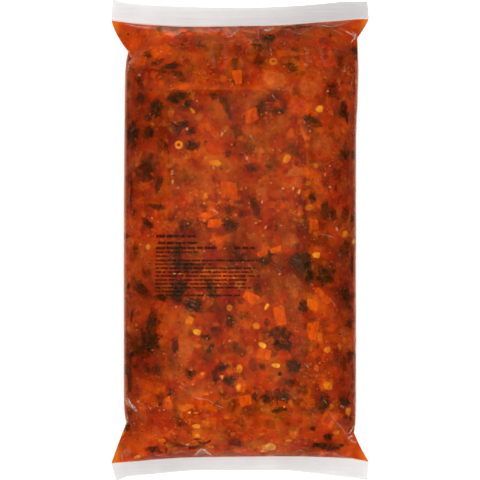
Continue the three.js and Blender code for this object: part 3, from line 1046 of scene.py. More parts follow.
def addBit(batch, spot, size, turn, template, show=1.0, soft=0.3, tint=0.5, form=None, depth=None):
    # size is across, along and deep, in millimetres; show is 1 against the film and 0 lost in the broth
    place, normal = spot
    if place is None:
        return
    points, faces, rim = templates[template]
    local = points * (size[0] / 2, size[1] / 2, size[2] / 2)
    if form is not None:
        local = form(local, size)
    thickness = filmTree.ray_cast(place - normal * 0.3, -normal)[3]
    room = sinking["roomShare"] * thickness if thickness else sinking["leastRoom"]
    deepest = max(0.01, -local[:, 2].min())
    local[:, 2] *= min(1, room / deepest)
    sideways = Vector((1, 0, 0)) - normal * normal.x
    sideways = sideways.normalized() if sideways.length > 0.2 else Vector((0, 1, 0)).cross(normal)
    ahead = normal.cross(sideways)
    c, s = math.cos(math.radians(turn)), math.sin(math.radians(turn))
    if depth is None:
        depth = sinking["nearest"] + sinking["deeper"] * (1 - show) ** 0.5
    base = len(batch["points"])
    for x, y, z in local.tolist():
        point = place + sideways * (x * c - y * s) + ahead * (x * s + y * c)
        near, out = filmTree.find_nearest(point)[:2]
        batch["points"].append(near + out * (z - depth))
    batch["faces"] += [[base + corner for corner in face] for face in faces]
    sunk = sinking["fade"] * smooth(-local[:, 2], *sinking["fadeDepth"])
    batch["clear"] += ((1 - smooth(rim, 1 - soft, 1.0)) * (1 - sunk)).tolist()
    batch["show"] += [show] * len(local)
    batch["tint"] += [tint] * len(local)


def finishBatch(name, batch, material):
    attributes = {key: batch[key] for key in ("show", "clear", "tint")}
    piece = addPiece(name, batch["points"], batch["faces"], material, attributes)
    piece.visible_shadow = False  # sunk pieces leave the broth under them lit


# A vegetable's own colour at its surface, with painted shade at its rim and towards the bag's sides,
# see-through round its edge and where it is sunk in the broth
vegetableLook = {
    "grain": 120,
    "ragged": 0.35,
    "torn": 0.0,
    "roughness": 0.45,
    "fibres": 1.0,
    "veins": None,
    "veiled": 0.2,
    "droplet": 0.2,
    "roundedEdgeShade": 0.0,
}
vegetableFlesh = {"gloss": 0.12, "glow": 0.3, "radius": (1.0, 0.35, 0.12), "depth": 0.002}


def vegetableMaterial(name, colours, **changes):
    # colours are the dark, middle and bright tones of the flesh, and the palest of a pale piece
    look = {**vegetableLook, **changes}
    material, tree = newMaterial(name)
    place = objectPlace(tree)
    flesh = noise(tree, stretch(tree, place, (1, look["fibres"], 1)), look["grain"], 4, 0.65)
    own = ramp(tree, flesh, list(zip((0.34, 0.5, 0.66), colours)))
    tint = attribute(tree, "tint")
    paler = times(tree, remap(tree, tint, 0.55, 1, 0, 1), remap(tree, flesh, 0.38, 0.6, 0.35, 1))
    own = mixColours(tree, paler, own, colours[3])
    if look["veins"]:
        branching = noise(tree, place, 420, 2, 0.5)
        ridge = math2(tree, "ABSOLUTE", math2(tree, "SUBTRACT", branching, 0.5))
        own = mixColours(tree, remap(tree, ridge, 0.0, 0.035, 0.3, 0), own, look["veins"])
    fine = math2(tree, "SUBTRACT", noise(tree, place, 420, 3, 0.7), 0.5)
    coarse = math2(tree, "SUBTRACT", noise(tree, place, 170, 2, 0.6), 0.5)
    clear = attribute(tree, "clear")
    # Painted shade: darker towards a piece's rim, so that it looks rounded
    if look["roundedEdgeShade"]:
        own = mixColours(tree, remap(tree, clear, 0.35, 1, look["roundedEdgeShade"], 0), own, colours[0])
    clear = math2(tree, "MULTIPLY_ADD", fine, look["ragged"] * 2, clear)
    clear = math2(tree, "MULTIPLY_ADD", coarse, look["torn"] * 2, clear)
    veil = remap(tree, noise(tree, place, 85, 3, 0.6), 0.36, 0.56, 1 - look["veiled"], 1)
    droplets = remap(tree, noise(tree, place, 640, 2, 0.6), 0.56, 0.68, 1, 1 - look["droplet"])
    seen = times(tree, remap(tree, clear, 0.06, 0.9), times(tree, attribute(tree, "show"), veil), droplets)
    # Painted shade: vegetables towards the sides of the bag are darkened as the broth is
    own = mixColours(tree, brothHere(tree)[1], own, (0.04, 0.004, 0.001))
    pores = bump(tree, flesh, 0.3, 0.0008)
    surface = foodShader(tree, own, pores, look["roughness"], **vegetableFlesh)
    setSurface(tree, seeThrough(tree, seen, surface))
    return material


# Each list below gives places in photo pixels, then the size in millimetres across and along, the turn
# in degrees and how clearly the piece shows through the broth. Besides those, faint pieces are strewn
# over the top by chance, and scattered ones over the sides and the underside.
greens = {
    "seed": 31,
    "thickness": 2.2,
    "raggedness": 0.2,
    "softness": 0.8,
    "spread": 1.42,
    "clearness": 1.15,
    # the rest of a large leaf, deeper in the broth
    "under": {"fromArea": 60, "spread": 1.7, "show": 0.6, "form": (0.15, 0.05)},
    "faint": {"count": 80, "size": (4, 11), "show": (0.1, 0.35)},
    "scattered": {"count": 190, "size": (5, 17), "show": (0.35, 0.6, 0.8, 0.95)},
    "colours": [(0.007, 0.004, 0.0012), (0.02, 0.008, 0.0018), (0.07, 0.019, 0.002), (0.05, 0.018, 0.003)],
    "look": {
        "grain": 230,
        "ragged": 0.55,
        "torn": 0.65,
        "veins": (0.14, 0.045, 0.005),
        "veiled": 0.15,
        "droplet": 0.5,
    },
    "atPhotoPixels": [
        (171, 66, 15, 8, 5, 0.85), (179, 76, 15, 9, -25, 0.6), (184, 44, 8, 4, 5, 0.6),
        (200, 43, 10, 16, -30, 0.4), (222, 44, 6, 13, 0, 0.35), (147, 55, 8, 11, 25, 0.45),
        (158, 62, 14, 7, 20, 0.58), (234, 64, 6, 13, 10, 0.42), (234, 82, 7, 6, 0, 0.5),
        (140, 82, 7, 12, 15, 0.75), (135, 78, 4, 6, 0, 0.5), (140, 97, 7, 13, 0, 0.8),
        (156, 109, 11, 20, 5, 0.95), (148, 118, 8, 8, 0, 0.7), (177, 97, 22, 12, 5, 1),
        (188, 103, 9, 7, 35, 1), (214, 96, 10, 7, -10, 0.55), (226, 106, 7, 24, 24, 0.6),
        (198, 75, 8, 8, 0, 0.25), (214, 60, 9, 12, 20, 0.25), (269, 37, 14, 9, -15, 0.8),
        (258, 45, 10, 20, 0, 0.5), (258, 60, 12, 10, 0, 0.45), (292, 67, 9, 15, 40, 0.6),
        (297, 48, 12, 10, 10, 0.3), (340, 62, 8, 18, 10, 0.45), (333, 90, 13, 14, -15, 0.75),
        (355, 50, 6, 11, 0, 0.8), (272, 99, 16, 7, 10, 0.25), (262, 110, 12, 14, 5, 0.7),
        (276, 111, 16, 7, 5, 0.75), (284, 108, 8, 12, 0, 0.5), (310, 119, 15, 7, -10, 0.85),
        (344, 110, 8, 17, -5, 0.85), (347, 118, 4, 14, 0, 0.9), (331, 128, 6, 4, 0, 0.4),
        (132, 134, 14, 24, 5, 1), (149, 132, 10, 16, -10, 0.95), (166, 146, 5, 9, 0, 0.6),
        (151, 155, 6, 8, 10, 0.6), (177, 130, 9, 9, 20, 0.8), (184, 124, 12, 6, 0, 0.8),
        (191, 131, 8, 9, -30, 0.8), (192, 146, 14, 10, -10, 0.85), (147, 168, 19, 15, 20, 0.75),
        (149, 178, 9, 7, 0, 0.7), (137, 174, 6, 7, 20, 0.5), (159, 184, 7, 13, -20, 0.85),
        (131, 192, 4, 26, -5, 0.6), (157, 207, 17, 5, -8, 0.9), (147, 224, 10, 10, 0, 0.8),
        (134, 212, 4, 8, 0, 0.4), (186, 224, 16, 11, 15, 0.6), (229, 210, 12, 10, 0, 0.6),
        (230, 225, 16, 14, 0, 0.85), (228, 154, 9, 7, 0, 0.5), (251, 168, 14, 9, -15, 0.6),
        (269, 166, 11, 4, -15, 0.6), (295, 151, 16, 20, 0, 0.35), (255, 206, 8, 22, 25, 0.7),
        (276, 228, 4, 7, 0, 0.6), (238, 202, 8, 6, 0, 0.6), (242, 214, 8, 8, 0, 0.5),
        (345, 155, 9, 12, 0, 0.95), (337, 173, 10, 12, 0, 0.35), (336, 187, 3.5, 7, 0, 0.7),
        (312, 198, 7, 13, 15, 0.85), (325, 212, 9, 17, 0, 0.8), (334, 215, 7, 10, 0, 0.7),
        (346, 213, 8, 16, 0, 0.65), (352, 218, 5, 9, 0, 0.7), (265, 261, 16, 9, -5, 0.9),
        (270, 254, 6, 6, 40, 0.8), (297, 261, 16, 16, 0, 1), (307, 258, 10, 14, 0, 1),
        (309, 275, 9, 20, 5, 0.95), (325, 275, 17, 17, 15, 0.8), (331, 264, 4, 8, 0, 0.5),
        (352, 264, 5, 18, 0, 0.8), (257, 287, 9, 12, 20, 0.45), (346.5, 296, 10, 17, 0, 1),
        (350, 308, 5, 4, 0, 0.8), (304, 307, 9, 13, 15, 0.85), (350, 324, 9, 9, 30, 0.65),
        (280, 334, 22, 14, 0, 0.85), (285, 345, 14, 14, 0, 0.85), (276, 347, 8, 9, 0, 0.5),
        (267, 323, 5, 9, 0, 0.6), (266, 334, 9, 18, 0, 0.4), (350, 355, 8, 12, 0, 0.6),
        (178, 252, 8, 18, 5, 0.75), (185, 266, 20, 9, 0, 0.75), (212, 291, 8, 18, 20, 0.8),
        (180, 290, 14, 15, 0, 0.95), (161, 298, 11, 7, 0, 0.85), (176, 299, 8, 8, 0, 0.7),
        (238, 253, 10, 14, 10, 0.5), (232, 262, 8, 6, 0, 0.4), (141, 289, 12, 12, 0, 0.85),
        (160, 291, 6, 7, 0, 0.5), (128, 286, 5, 7, 0, 0.8), (193, 305, 19, 15, -20, 0.9),
        (152, 320, 11, 17, -10, 0.95), (149, 340, 21, 24, 5, 1), (138, 350, 14, 10, 20, 0.95),
        (131, 356, 8, 8, 0, 0.8), (132, 314, 5, 16, -10, 0.55), (175, 346, 7, 16, 0, 0.7),
        (207, 337, 12, 7, 0, 0.6), (214, 330, 7, 5, 0, 0.7), (230, 321, 11, 11, 15, 0.7),
        (211, 347, 5, 12, -25, 0.7), (236, 346, 7, 9, 20, 0.55), (146, 274, 9, 9, 0, 0.45),
        (135, 249, 8, 10, 0, 0.55), (129.5, 378, 5, 30, 0, 0.85), (146, 368, 9, 9, 0, 0.5),
        (156, 370, 11, 12, 15, 0.5), (136, 366, 6, 5, 0, 0.6), (191, 374, 9, 11, -25, 0.7),
        (222, 367, 12, 9, 10, 1), (215, 376, 7, 13, 5, 0.7), (230, 381, 11, 10, 0, 1),
        (171, 391, 8, 7, 0, 0.5), (160, 404, 7, 5, 0, 0.45), (127, 427, 6, 8, -20, 0.7),
        (263, 367, 8, 7, 0, 0.5), (280, 374, 5, 5, 0, 0.8), (294, 366, 12, 15, -20, 1),
        (282, 395, 15, 13, 10, 0.95), (291, 383, 12, 10, 0, 0.5), (255, 396, 6, 9, 0, 0.8),
        (266, 399, 9, 9, -25, 0.9), (279, 410, 13, 5, 15, 0.9), (324, 403, 10, 18, -5, 0.9),
        (344, 402, 15, 7, -15, 0.9), (347, 416, 5, 6, 0, 0.6), (329, 437, 9, 10, 30, 0.85),
        (319, 445, 13, 6, -5, 0.95), (329, 447.5, 15, 8, -10, 0.95), (340, 446, 11, 6, 5, 0.9),
        (313, 429, 5, 6, 30, 0.7), (303, 441, 4, 6, 0, 0.5), (193, 448, 13, 5, 10, 0.7),
        (208.5, 442, 3.5, 7, -35, 0.85), (153, 449, 16, 9, -8, 0.85), (235, 445, 14, 13, 0, 0.6),
        (178, 447, 18, 8, 0, 0.25), (197, 439.5, 8, 3, 10, 0.75), (204, 443, 5, 6, 0, 0.75),
        (166, 451, 3, 7, 0, 0.7), (144, 34, 7, 8, 20, 0.4), (128, 34, 2.4, 2.4, 0, 0.9),
        (167, 48, 1.6, 1.6, 0, 0.9),
    ],
}


def addLeaf(batch, chance, spot, across, along, turn, show):
    size = (across, along, greens["thickness"])
    soft = lerp(1, greens["softness"], show)
    form = leafForm(chance, greens["raggedness"])
    addBit(batch, spot, size, turn, "leaf", show, soft, chance.random(), form)


leafMaterial = vegetableMaterial("wiltedGreens", greens["colours"], **greens["look"])
chance = random.Random(greens["seed"])
batch = newBatch()
under, spread = greens["under"], greens["spread"]
for x, y, across, along, turn, show in greens["atPhotoPixels"]:
    spot = onFilm(x, y)
    show = min(1, show * greens["clearness"])
    addLeaf(batch, chance, spot, across * spread, along * spread, turn, show)
    if across * along > under["fromArea"]:
        size = (across * under["spread"], along * under["spread"], greens["thickness"])
        form = leafForm(chance, *under["form"])
        addBit(batch, spot, size, turn, "leaf", show * under["show"], 1, 0.3, form)
faint, scattered = greens["faint"], greens["scattered"]
for spot in chanceSpots(faint["count"], chance, "onTop"):
    across, along = chance.uniform(*faint["size"]), chance.uniform(*faint["size"])
    addLeaf(batch, chance, spot, across, along, 0, chance.uniform(*faint["show"]))
for spot in chanceSpots(scattered["count"], chance, "offTop", spotLimits["largeFromEnd"]):
    show = chance.choice(scattered["show"])
    across, along = chance.uniform(*scattered["size"]), chance.uniform(*scattered["size"])
    addLeaf(batch, chance, spot, across, along, chance.uniform(0, 180), show)
finishBatch("wiltedGreens", batch, leafMaterial)

# Vegetables that lie deep, seen only as dim or bright patches: place, size, turn and strength
deepPieces = {
    "dimSeed": 59,
    "brightSeed": 53,
    "thickness": 1.2,
    "depth": 0.3,
    "scatteredDepth": 0.4,
    "spread": 1.3,
    "form": (0.12, 0.05),
    "look": {"grain": 150, "ragged": 0.5, "torn": 0.8},
    "scattered": {"count": 90, "size": ((10, 26), (10, 20)), "show": (0.3, 0.7)},
    "dimColours": [(0.035, 0.008, 0.001), (0.065, 0.012, 0.001), (0.12, 0.018, 0.001), (0.1, 0.014, 0.001)],
    "brightColours": [
        (0.5, 0.052, 0.001), (0.62, 0.074, 0.0015), (0.72, 0.11, 0.002), (0.66, 0.085, 0.002),
    ],
    "dimAtPhotoPixels": [
        (238, 50, 11, 17, 0, 0.55), (165, 70, 24, 8, 0, 0.3), (262, 65, 12, 13, 0, 0.35),
        (140, 100, 24, 18, 0, 0.5), (166, 108, 18, 10, 0, 0.5), (190, 108, 36, 11, 0, 0.6),
        (137, 130, 9, 22, 8, 0.5), (237, 132, 13, 17, 0, 0.8), (251, 148, 14, 17, 10, 0.65),
        (273, 164, 19, 26, 0, 0.6), (167, 148, 9, 14, 0, 0.5), (236, 185, 12, 12, 0, 0.6),
        (182, 178, 32, 20, -15, 0.5), (228, 97, 40, 16, 0, 0.35), (266, 125, 32, 16, 0, 0.3),
        (318, 124, 14, 12, 0, 0.8), (325, 95, 9, 12, 0, 0.4), (338, 84, 8, 10, 0, 0.35),
        (345, 148, 20, 16, 0, 0.35), (343, 172, 18, 30, 0, 0.25), (331, 214, 13, 25, 0, 0.45),
        (323, 239, 26, 13, 20, 0.6), (346, 249, 19, 26, -25, 0.85), (325, 281, 22, 12, 10, 0.8),
        (341, 293, 14, 15, 0, 0.7), (300, 273, 22, 18, 0, 0.85), (281, 264, 14, 28, 0, 0.55),
        (286, 285, 34, 18, 0, 0.45), (256, 268, 24, 14, 30, 0.5), (258, 293, 12, 12, 0, 0.6),
        (232, 249, 21, 18, 0, 0.6), (194, 254, 16, 11, 0, 0.6), (172, 259, 14, 20, 0, 0.5),
        (190, 243, 22, 11, 0, 0.3), (209, 292, 13, 21, 0, 0.6), (172, 296, 28, 16, 0, 0.6),
        (157, 287, 10, 12, 0, 0.5), (157, 322, 10, 9, 0, 0.5), (133, 343, 11, 9, 0, 0.5),
        (145, 354, 16, 12, 0, 0.6), (325, 324, 14, 11, 0, 0.5), (272, 341, 24, 12, 0, 0.3),
        (306, 351, 15, 11, 0, 0.5), (207, 356, 18, 15, 0, 0.65), (233, 348, 10, 16, 0, 0.5),
        (343, 363, 14, 21, 0, 0.75), (304, 390, 13, 15, 0, 0.7), (254, 412, 28, 14, 0, 0.3),
        (281, 412, 18, 21, 0, 0.4), (291, 428, 15, 13, 0, 0.4), (311, 426, 15, 11, 0, 0.4),
        (229, 432, 11, 15, 0, 0.4), (316, 447, 12, 13, 0, 0.5), (350, 431, 9, 9, 0, 0.5),
        (126, 427, 12, 10, 0, 0.4), (178, 447, 26, 10, 0, 0.5), (200, 444, 20, 11, 0, 0.65),
        (335, 289, 12, 10, 0, 0.5), (341, 407, 11, 10, 0, 0.4),
    ],
    "brightAtPhotoPixels": [
        (172, 36, 28, 9, 0, 0.3), (158, 43, 38, 16, 0, 0.15), (225, 36, 30, 8, 0, 0.5),
        (248, 38, 18, 14, 0, 0.75), (133, 48, 15, 30, 0, 0.5), (136, 64, 26, 14, 0, 0.6),
        (179, 87, 12, 11, 0, 0.5), (200, 80, 15, 28, 0, 0.45), (268, 112, 17, 9, 10, 0.5),
        (298, 112, 30, 13, 0, 0.25), (297, 131, 11, 12, 0, 0.3), (337, 132, 8, 16, 0, 0.45),
        (350, 72, 11, 16, 0, 0.4), (143, 186, 23, 13, 10, 0.75), (194, 213, 19, 24, -25, 0.4),
        (211, 204, 16, 20, 0, 0.75), (173, 228, 17, 14, 25, 0.5), (216, 240, 13, 17, 20, 0.55),
        (309, 175, 28, 16, -20, 0.75), (293, 213, 15, 14, 0, 0.3), (278, 206, 22, 13, 0, 0.5),
        (305, 195, 12, 10, 0, 0.4), (309, 254, 10, 13, 30, 0.6), (266, 248, 9, 20, 0, 0.4),
        (129, 275, 10, 30, -20, 0.6), (206, 272, 13, 15, -30, 0.8), (224, 280, 13, 13, 0, 0.85),
        (243, 310, 17, 17, 0, 0.6), (247, 325, 11, 12, 0, 0.6), (129, 326, 8, 18, 0, 0.9),
        (346, 313, 19, 11, 0, 0.5), (334, 338, 32, 11, -5, 0.4), (150, 386, 38, 14, -10, 0.5),
        (228, 367, 13, 24, 15, 0.75), (241, 386, 12, 24, 0, 0.8), (323, 385, 13, 15, 0, 0.75),
        (310, 403, 14, 16, 0, 0.55), (327, 417, 13, 24, -10, 0.75), (209, 408, 24, 10, 0, 0.9),
        (190, 420, 18, 16, 0, 0.5), (155, 400, 14, 16, 0, 0.65), (158, 440, 16, 9, 0, 0.4),
        (210, 450, 30, 9, 0, 0.7), (285, 53, 22, 11, 0, 0.45), (252, 58, 9, 10, 0, 0.45),
        (265, 449, 28, 9, 10, 0.4), (246, 440, 14, 12, 0, 0.4), (206, 126, 18, 16, 0, 0.6),
        (193, 152, 26, 16, -10, 0.65), (311, 114, 20, 10, 0, 0.5), (298, 215, 12, 14, 0, 0.6),
        (310, 193, 12, 12, 0, 0.5), (178, 120, 16, 10, 0, 0.4),
    ],
}
for name, kind, slotName in (("sunkenGreens", "dim", "greens"), ("sunkenRoots", "bright", "carrot")):
    chance = random.Random(deepPieces[kind + "Seed"])
    batch = newBatch()
    for x, y, across, along, turn, show in deepPieces[kind + "AtPhotoPixels"]:
        size = (deepPieces["spread"] * across, deepPieces["spread"] * along, deepPieces["thickness"])
        form = leafForm(chance, *deepPieces["form"])
        addBit(batch, onFilm(x, y), size, turn, "leaf", show, 0.95, 0.5, form, deepPieces["depth"])
    scattered = deepPieces["scattered"]
    for spot in chanceSpots(scattered["count"], chance, "offTop", spotLimits["largeFromEnd"]):
        size = chanceSize(chance, *scattered["size"], deepPieces["thickness"])
        show = chance.uniform(*scattered["show"])
        form = leafForm(chance, *deepPieces["form"])
        addBit(batch, spot, size, 0, "leaf", show, 1, 0.5, form, deepPieces["scatteredDepth"])
    material = vegetableMaterial(name, deepPieces[kind + "Colours"], **deepPieces["look"])
    finishBatch(name, batch, material)

carrot = {
    "seed": 8,
    "thickness": 10,
    "spread": 1.12,
    "colours": [(0.45, 0.044, 0.001), (0.6, 0.07, 0.0012), (0.74, 0.105, 0.002), (0.7, 0.125, 0.003)],
    "look": {"grain": 330, "ragged": 0.5, "fibres": 0.35, "roundedEdgeShade": 0.4},
    "chanceSize": ((8, 15), (8, 13)),
    "faint": {"count": 24, "show": (0.1, 0.35)},
    "scattered": {"count": 60, "show": (0.3, 0.7, 0.95)},
    "cornersAtPhotoPixels": [
        ((154, 60), (173, 50.5), (166, 41), (149, 49.5), 1),
        ((252, 306), (261.5, 297), (246.5, 290.5), (242, 296.5), 1),
        ((277, 327), (287, 324.5), (284, 305.5), (272, 307), 1),
        ((309, 339), (316, 341), (320.5, 320.5), (306, 323.5), 1),
        ((328, 306), (334, 301), (318, 286.5), (313, 290), 0.65),
        ((236, 85), (242, 84), (242, 69), (230, 70), 0.95),
    ],
    "atPhotoPixels": [
        (202.5, 403, 12, 11, 0, 0.6), (252, 115, 15, 13, 20, 0.75), (229, 190, 15, 18, 0, 0.8),
        (215, 223, 14, 9, 0, 1), (213, 211, 10, 6, -35, 0.9), (262, 253, 12, 7, 25, 0.9),
        (276, 250, 12, 6, 15, 0.9), (313, 304.5, 13, 11, -15, 0.85), (264, 354, 14, 12, -15, 0.95),
        (245, 400, 12, 12, 10, 0.8), (349, 337, 9, 14, 0, 0.6), (213.5, 424, 5, 15, 0, 0.6),
        (313, 225, 10, 11, 0, 0.85), (281, 301, 4, 6, 0, 0.7), (133, 268, 9, 14, 0, 0.5),
        (138, 277, 8, 7, 20, 0.6), (225, 275, 30, 10, 0, 0.35), (218, 110, 14, 18, 0, 0.3),
        (334, 416, 18, 10, -20, 0.45), (320, 380, 14, 12, 0, 0.35), (140, 61, 14, 14, -30, 0.5),
        (241.5, 189, 3, 2.2, 0, 1),
    ],
}
carrotMaterial = vegetableMaterial("carrotFlesh", carrot["colours"], **carrot["look"])
chance = random.Random(carrot["seed"])
batch = newBatch()
for *corners, show in carrot["cornersAtPhotoPixels"]:
    spot = onFilm(*(sum(corner[axis] for corner in corners) / 4 for axis in (0, 1)))
    form = diceForm(chance, corners)
    addBit(batch, spot, (10, 10, carrot["thickness"]), 0, "dice", show, 0.1, chance.random(), form)
for x, y, across, along, turn, show in carrot["atPhotoPixels"]:
    size = (across * carrot["spread"], along * carrot["spread"], carrot["thickness"])
    tint, form = chance.random(), diceForm(chance)
    addBit(batch, onFilm(x, y), size, turn, "dice", show, 0.2 + 0.25 * (1 - show), tint, form)
for spot in chanceSpots(carrot["faint"]["count"], chance, "onTop"):
    size = chanceSize(chance, *carrot["chanceSize"], carrot["thickness"])
    turn, show = chance.uniform(0, 90), chance.uniform(*carrot["faint"]["show"])
    addBit(batch, spot, size, turn, "dice", show, 0.45, chance.random(), diceForm(chance))
for spot in chanceSpots(carrot["scattered"]["count"], chance, "offTop"):
    size = chanceSize(chance, *carrot["chanceSize"], carrot["thickness"])
    turn, show = chance.uniform(0, 90), chance.choice(carrot["scattered"]["show"])
    addBit(batch, spot, size, turn, "dice", show, 0.3, chance.random(), diceForm(chance))
finishBatch("carrotDice", batch, carrotMaterial)

corn = {
    "seed": 12,
    "thickness": 2.4,
    # kernels are paler partly from their own germ and partly from a painted highlight
    "nearTint": (0.72, 1),  # paleness of kernels against the film and of the rest
    "sunkTint": (0.25, 0.85),
    "nearShow": 0.95,
    "colours": [(0.48, 0.09, 0.002), (0.68, 0.17, 0.004), (0.8, 0.27, 0.01), (0.9, 0.42, 0.035)],
    "look": {"grain": 260, "ragged": 0.4, "roughness": 0.35, "roundedEdgeShade": 0.75},
    "faint": {"count": 30, "length": 8.5, "width": 7, "show": (0.1, 0.4)},
    "scattered": {"count": 70, "length": (7.5, 10), "width": 7, "show": (0.5, 0.9, 1)},
    "atPhotoPixels": [
        (319, 109, 9, 9, 0, 1), (286.5, 159, 13, 9, 56, 0.85), (345, 234.5, 10, 9, 30, 0.9),
        (316, 255, 9.5, 8, -10, 1), (215, 163, 15, 9, -5, 0.85), (189, 321, 12, 11, 60, 0.75),
        (196.5, 332, 10, 8, -20, 1), (229, 308, 9, 10, 0, 0.5), (256, 326, 10, 10, 0, 0.65),
        (266.5, 307, 9, 4.5, 60, 1), (262, 345, 10.5, 7, -35, 1), (275.5, 365.5, 10.5, 6, -8, 1),
        (327, 350, 8.5, 8, 10, 0.9), (340, 346, 6, 10, 0, 0.5), (239.5, 369.5, 11, 8, 90, 0.85),
        (238.5, 388, 12, 8, 70, 0.75), (205, 393.8, 9, 4, 0, 0.9), (189.3, 412.7, 4, 3.5, 0, 1),
        (195.5, 413.2, 6.5, 3, 0, 0.8), (195.8, 426.5, 10, 7, 0, 1), (196.4, 435.7, 9, 6.5, 0, 1),
        (210.5, 447.3, 10, 6, 15, 0.95), (288, 441, 11, 6, 10, 0.7), (327, 385.5, 13, 11, -15, 0.9),
        (348.5, 412.5, 12, 9, 90, 0.9), (137, 457, 9, 5, 10, 0.8), (336, 433, 9, 7, 0, 0.7),
        (127.7, 329, 8, 6, 90, 0.95), (202, 373.5, 5, 5, 0, 0.7), (284, 407, 3, 4, 0, 0.9),
        (254, 443, 12, 9, 0, 0.4), (161, 441, 13, 8, 10, 0.75), (162, 450, 4, 3, 0, 0.6),
        (173.5, 452, 7, 3, 5, 0.6), (231.5, 144.5, 3, 2.5, 0, 0.9), (263, 235.5, 4.5, 4.5, 0, 0.7),
        (192, 110, 9, 5, -45, 0.75), (268, 157, 8, 6, 90, 0.4), (204, 251, 3.5, 2.5, 0, 0.9),
        (218, 285, 2.5, 3, 0, 0.8), (262, 410, 7, 6, 0, 0.5), (140, 245, 4, 3, 90, 0.8),
        (228, 171, 9, 3, 40, 0.6), (205, 196, 9, 5, 70, 0.75), (186, 157, 9, 8, 0, 0.45),
        (174, 161, 8, 6, 90, 0.35), (299, 214, 5, 4, 0, 0.6), (299, 192, 6, 4, 80, 0.8),
    ],
}


def addKernel(batch, chance, spot, along, across, turn, show):
    size = (along * lostEdges, across * lostEdges, corn["thickness"])
    low, high = corn["nearTint"] if show > corn["nearShow"] else corn["sunkTint"]
    addBit(batch, spot, size, turn, "kernel", show, 0.45, lerp(low, high, chance.random()), kernelForm)


cornMaterial = vegetableMaterial("sweetCorn", corn["colours"], **corn["look"])
chance = random.Random(corn["seed"])
batch = newBatch()
for x, y, along, across, turn, show in corn["atPhotoPixels"]:
    addKernel(batch, chance, onFilm(x, y), along, across, turn, show)
faint, scattered = corn["faint"], corn["scattered"]
for spot in chanceSpots(faint["count"], chance, "onTop"):
    turn, show = chance.uniform(0, 360), chance.uniform(*faint["show"])
    addKernel(batch, chance, spot, faint["length"], faint["width"], turn, show)
for spot in chanceSpots(scattered["count"], chance, "offTop"):
    length = chance.uniform(*scattered["length"])
    turn, show = chance.uniform(0, 360), chance.choice(scattered["show"])
    addKernel(batch, chance, spot, length, scattered["width"], turn, show)
finishBatch("sweetCorn", batch, cornMaterial)

# Slices of onion, potato and squash, cooked translucent: place, size, turn, show and number of corners
paleSlices = {
    "seed": 4,
    "thickness": 4,
    "spread": 1.15,
    "palestShow": 0.75,
    "colours": [(0.4, 0.062, 0.006), (0.5, 0.1, 0.014), (0.62, 0.15, 0.022), (0.9, 0.36, 0.05)],
    "look": {"grain": 150, "ragged": 0.5, "torn": 0.2, "roundedEdgeShade": 0.4},
    "faint": {"count": 22, "size": ((9, 19), (8, 16)), "show": (0.05, 0.22)},
    "scattered": {"count": 60, "size": ((9, 22), (8, 18)), "show": (0.3, 0.7), "corners": (0, 3, 4, 5)},
    "atPhotoPixels": [
        (274, 79, 29, 21, -12, 0.75, 4), (309, 88, 26, 22, 0, 0.5, 7),
        (323.5, 143.5, 25, 25, 0, 0.5, 0), (295, 172, 25, 15, 5, 0.75, 3),
        (298, 182, 14, 16, 0, 0.45, 5), (291, 240, 19, 17, 0, 0.45, 0), (262, 193, 17, 26, -5, 0.4, 4),
        (171, 112, 10, 17, 0, 0.5, 4), (260, 155, 5, 19, -10, 0.6, 0), (187, 347, 22, 19, 15, 0.65, 4),
        (269, 447.5, 16, 17, 25, 0.85, 5), (268, 447, 9, 10, 10, 1, 4), (264, 451, 8, 6, 0, 0.9, 5),
        (148, 247, 6, 6, -40, 0.8, 0), (250, 236.5, 10, 8, 0, 0.5, 4), (303, 384, 10, 9, 0, 0.4, 0),
        (293, 283, 22, 26, 0, 0.4, 6), (332, 315, 9, 18, 0, 0.35, 0), (170, 35, 18, 10, 0, 0.3, 5),
        (222, 377, 5, 6, 0, 0.8, 3), (332, 406, 6, 6, 0, 0.7, 5), (155, 430, 20, 18, 0, 0.25, 5),
        (300, 350, 16, 14, 0, 0.3, 4), (206, 180, 22, 20, 0, 0.3, 5), (216, 135, 16, 10, -40, 0.4, 0),
        (345, 180, 14, 20, 0, 0.25, 5), (280, 195, 18, 18, 0, 0.3, 4), (150, 265, 14, 16, 0, 0.35, 5),
        (270, 130, 18, 16, 0, 0.3, 6), (240, 430, 16, 12, 0, 0.25, 5), (305, 425, 20, 14, 0, 0.25, 4),
        (165, 225, 14, 16, 0, 0.3, 5),
    ],
}
paleMaterial = vegetableMaterial("onionAndPotato", paleSlices["colours"], **paleSlices["look"])
chance = random.Random(paleSlices["seed"])
batch = newBatch()
for x, y, across, along, turn, show, corners in paleSlices["atPhotoPixels"]:
    size = (across * paleSlices["spread"], along * paleSlices["spread"], paleSlices["thickness"])
    tint = 1.0 if show > paleSlices["palestShow"] else 0.2 * chance.random()
    soft = 0.35 + 0.8 * (1 - show)
    addBit(batch, onFilm(x, y), size, turn, "slab", show, soft, tint, slabForm(chance, corners))
faint, scattered = paleSlices["faint"], paleSlices["scattered"]
for spot in chanceSpots(faint["count"], chance, "onTop"):
    size = chanceSize(chance, *faint["size"], paleSlices["thickness"])
    addBit(batch, spot, size, 0, "slab", chance.uniform(*faint["show"]), 0.6, 0.2, slabForm(chance, 5))
for spot in chanceSpots(scattered["count"], chance, "offTop"):
    size = chanceSize(chance, *scattered["size"], paleSlices["thickness"])
    show = chance.uniform(*scattered["show"])
    form = slabForm(chance, chance.choice(scattered["corners"]))
    addBit(batch, spot, size, chance.uniform(0, 90), "slab", show, 0.3, 0.3, form)
finishBatch("paleSlices", batch, paleMaterial)

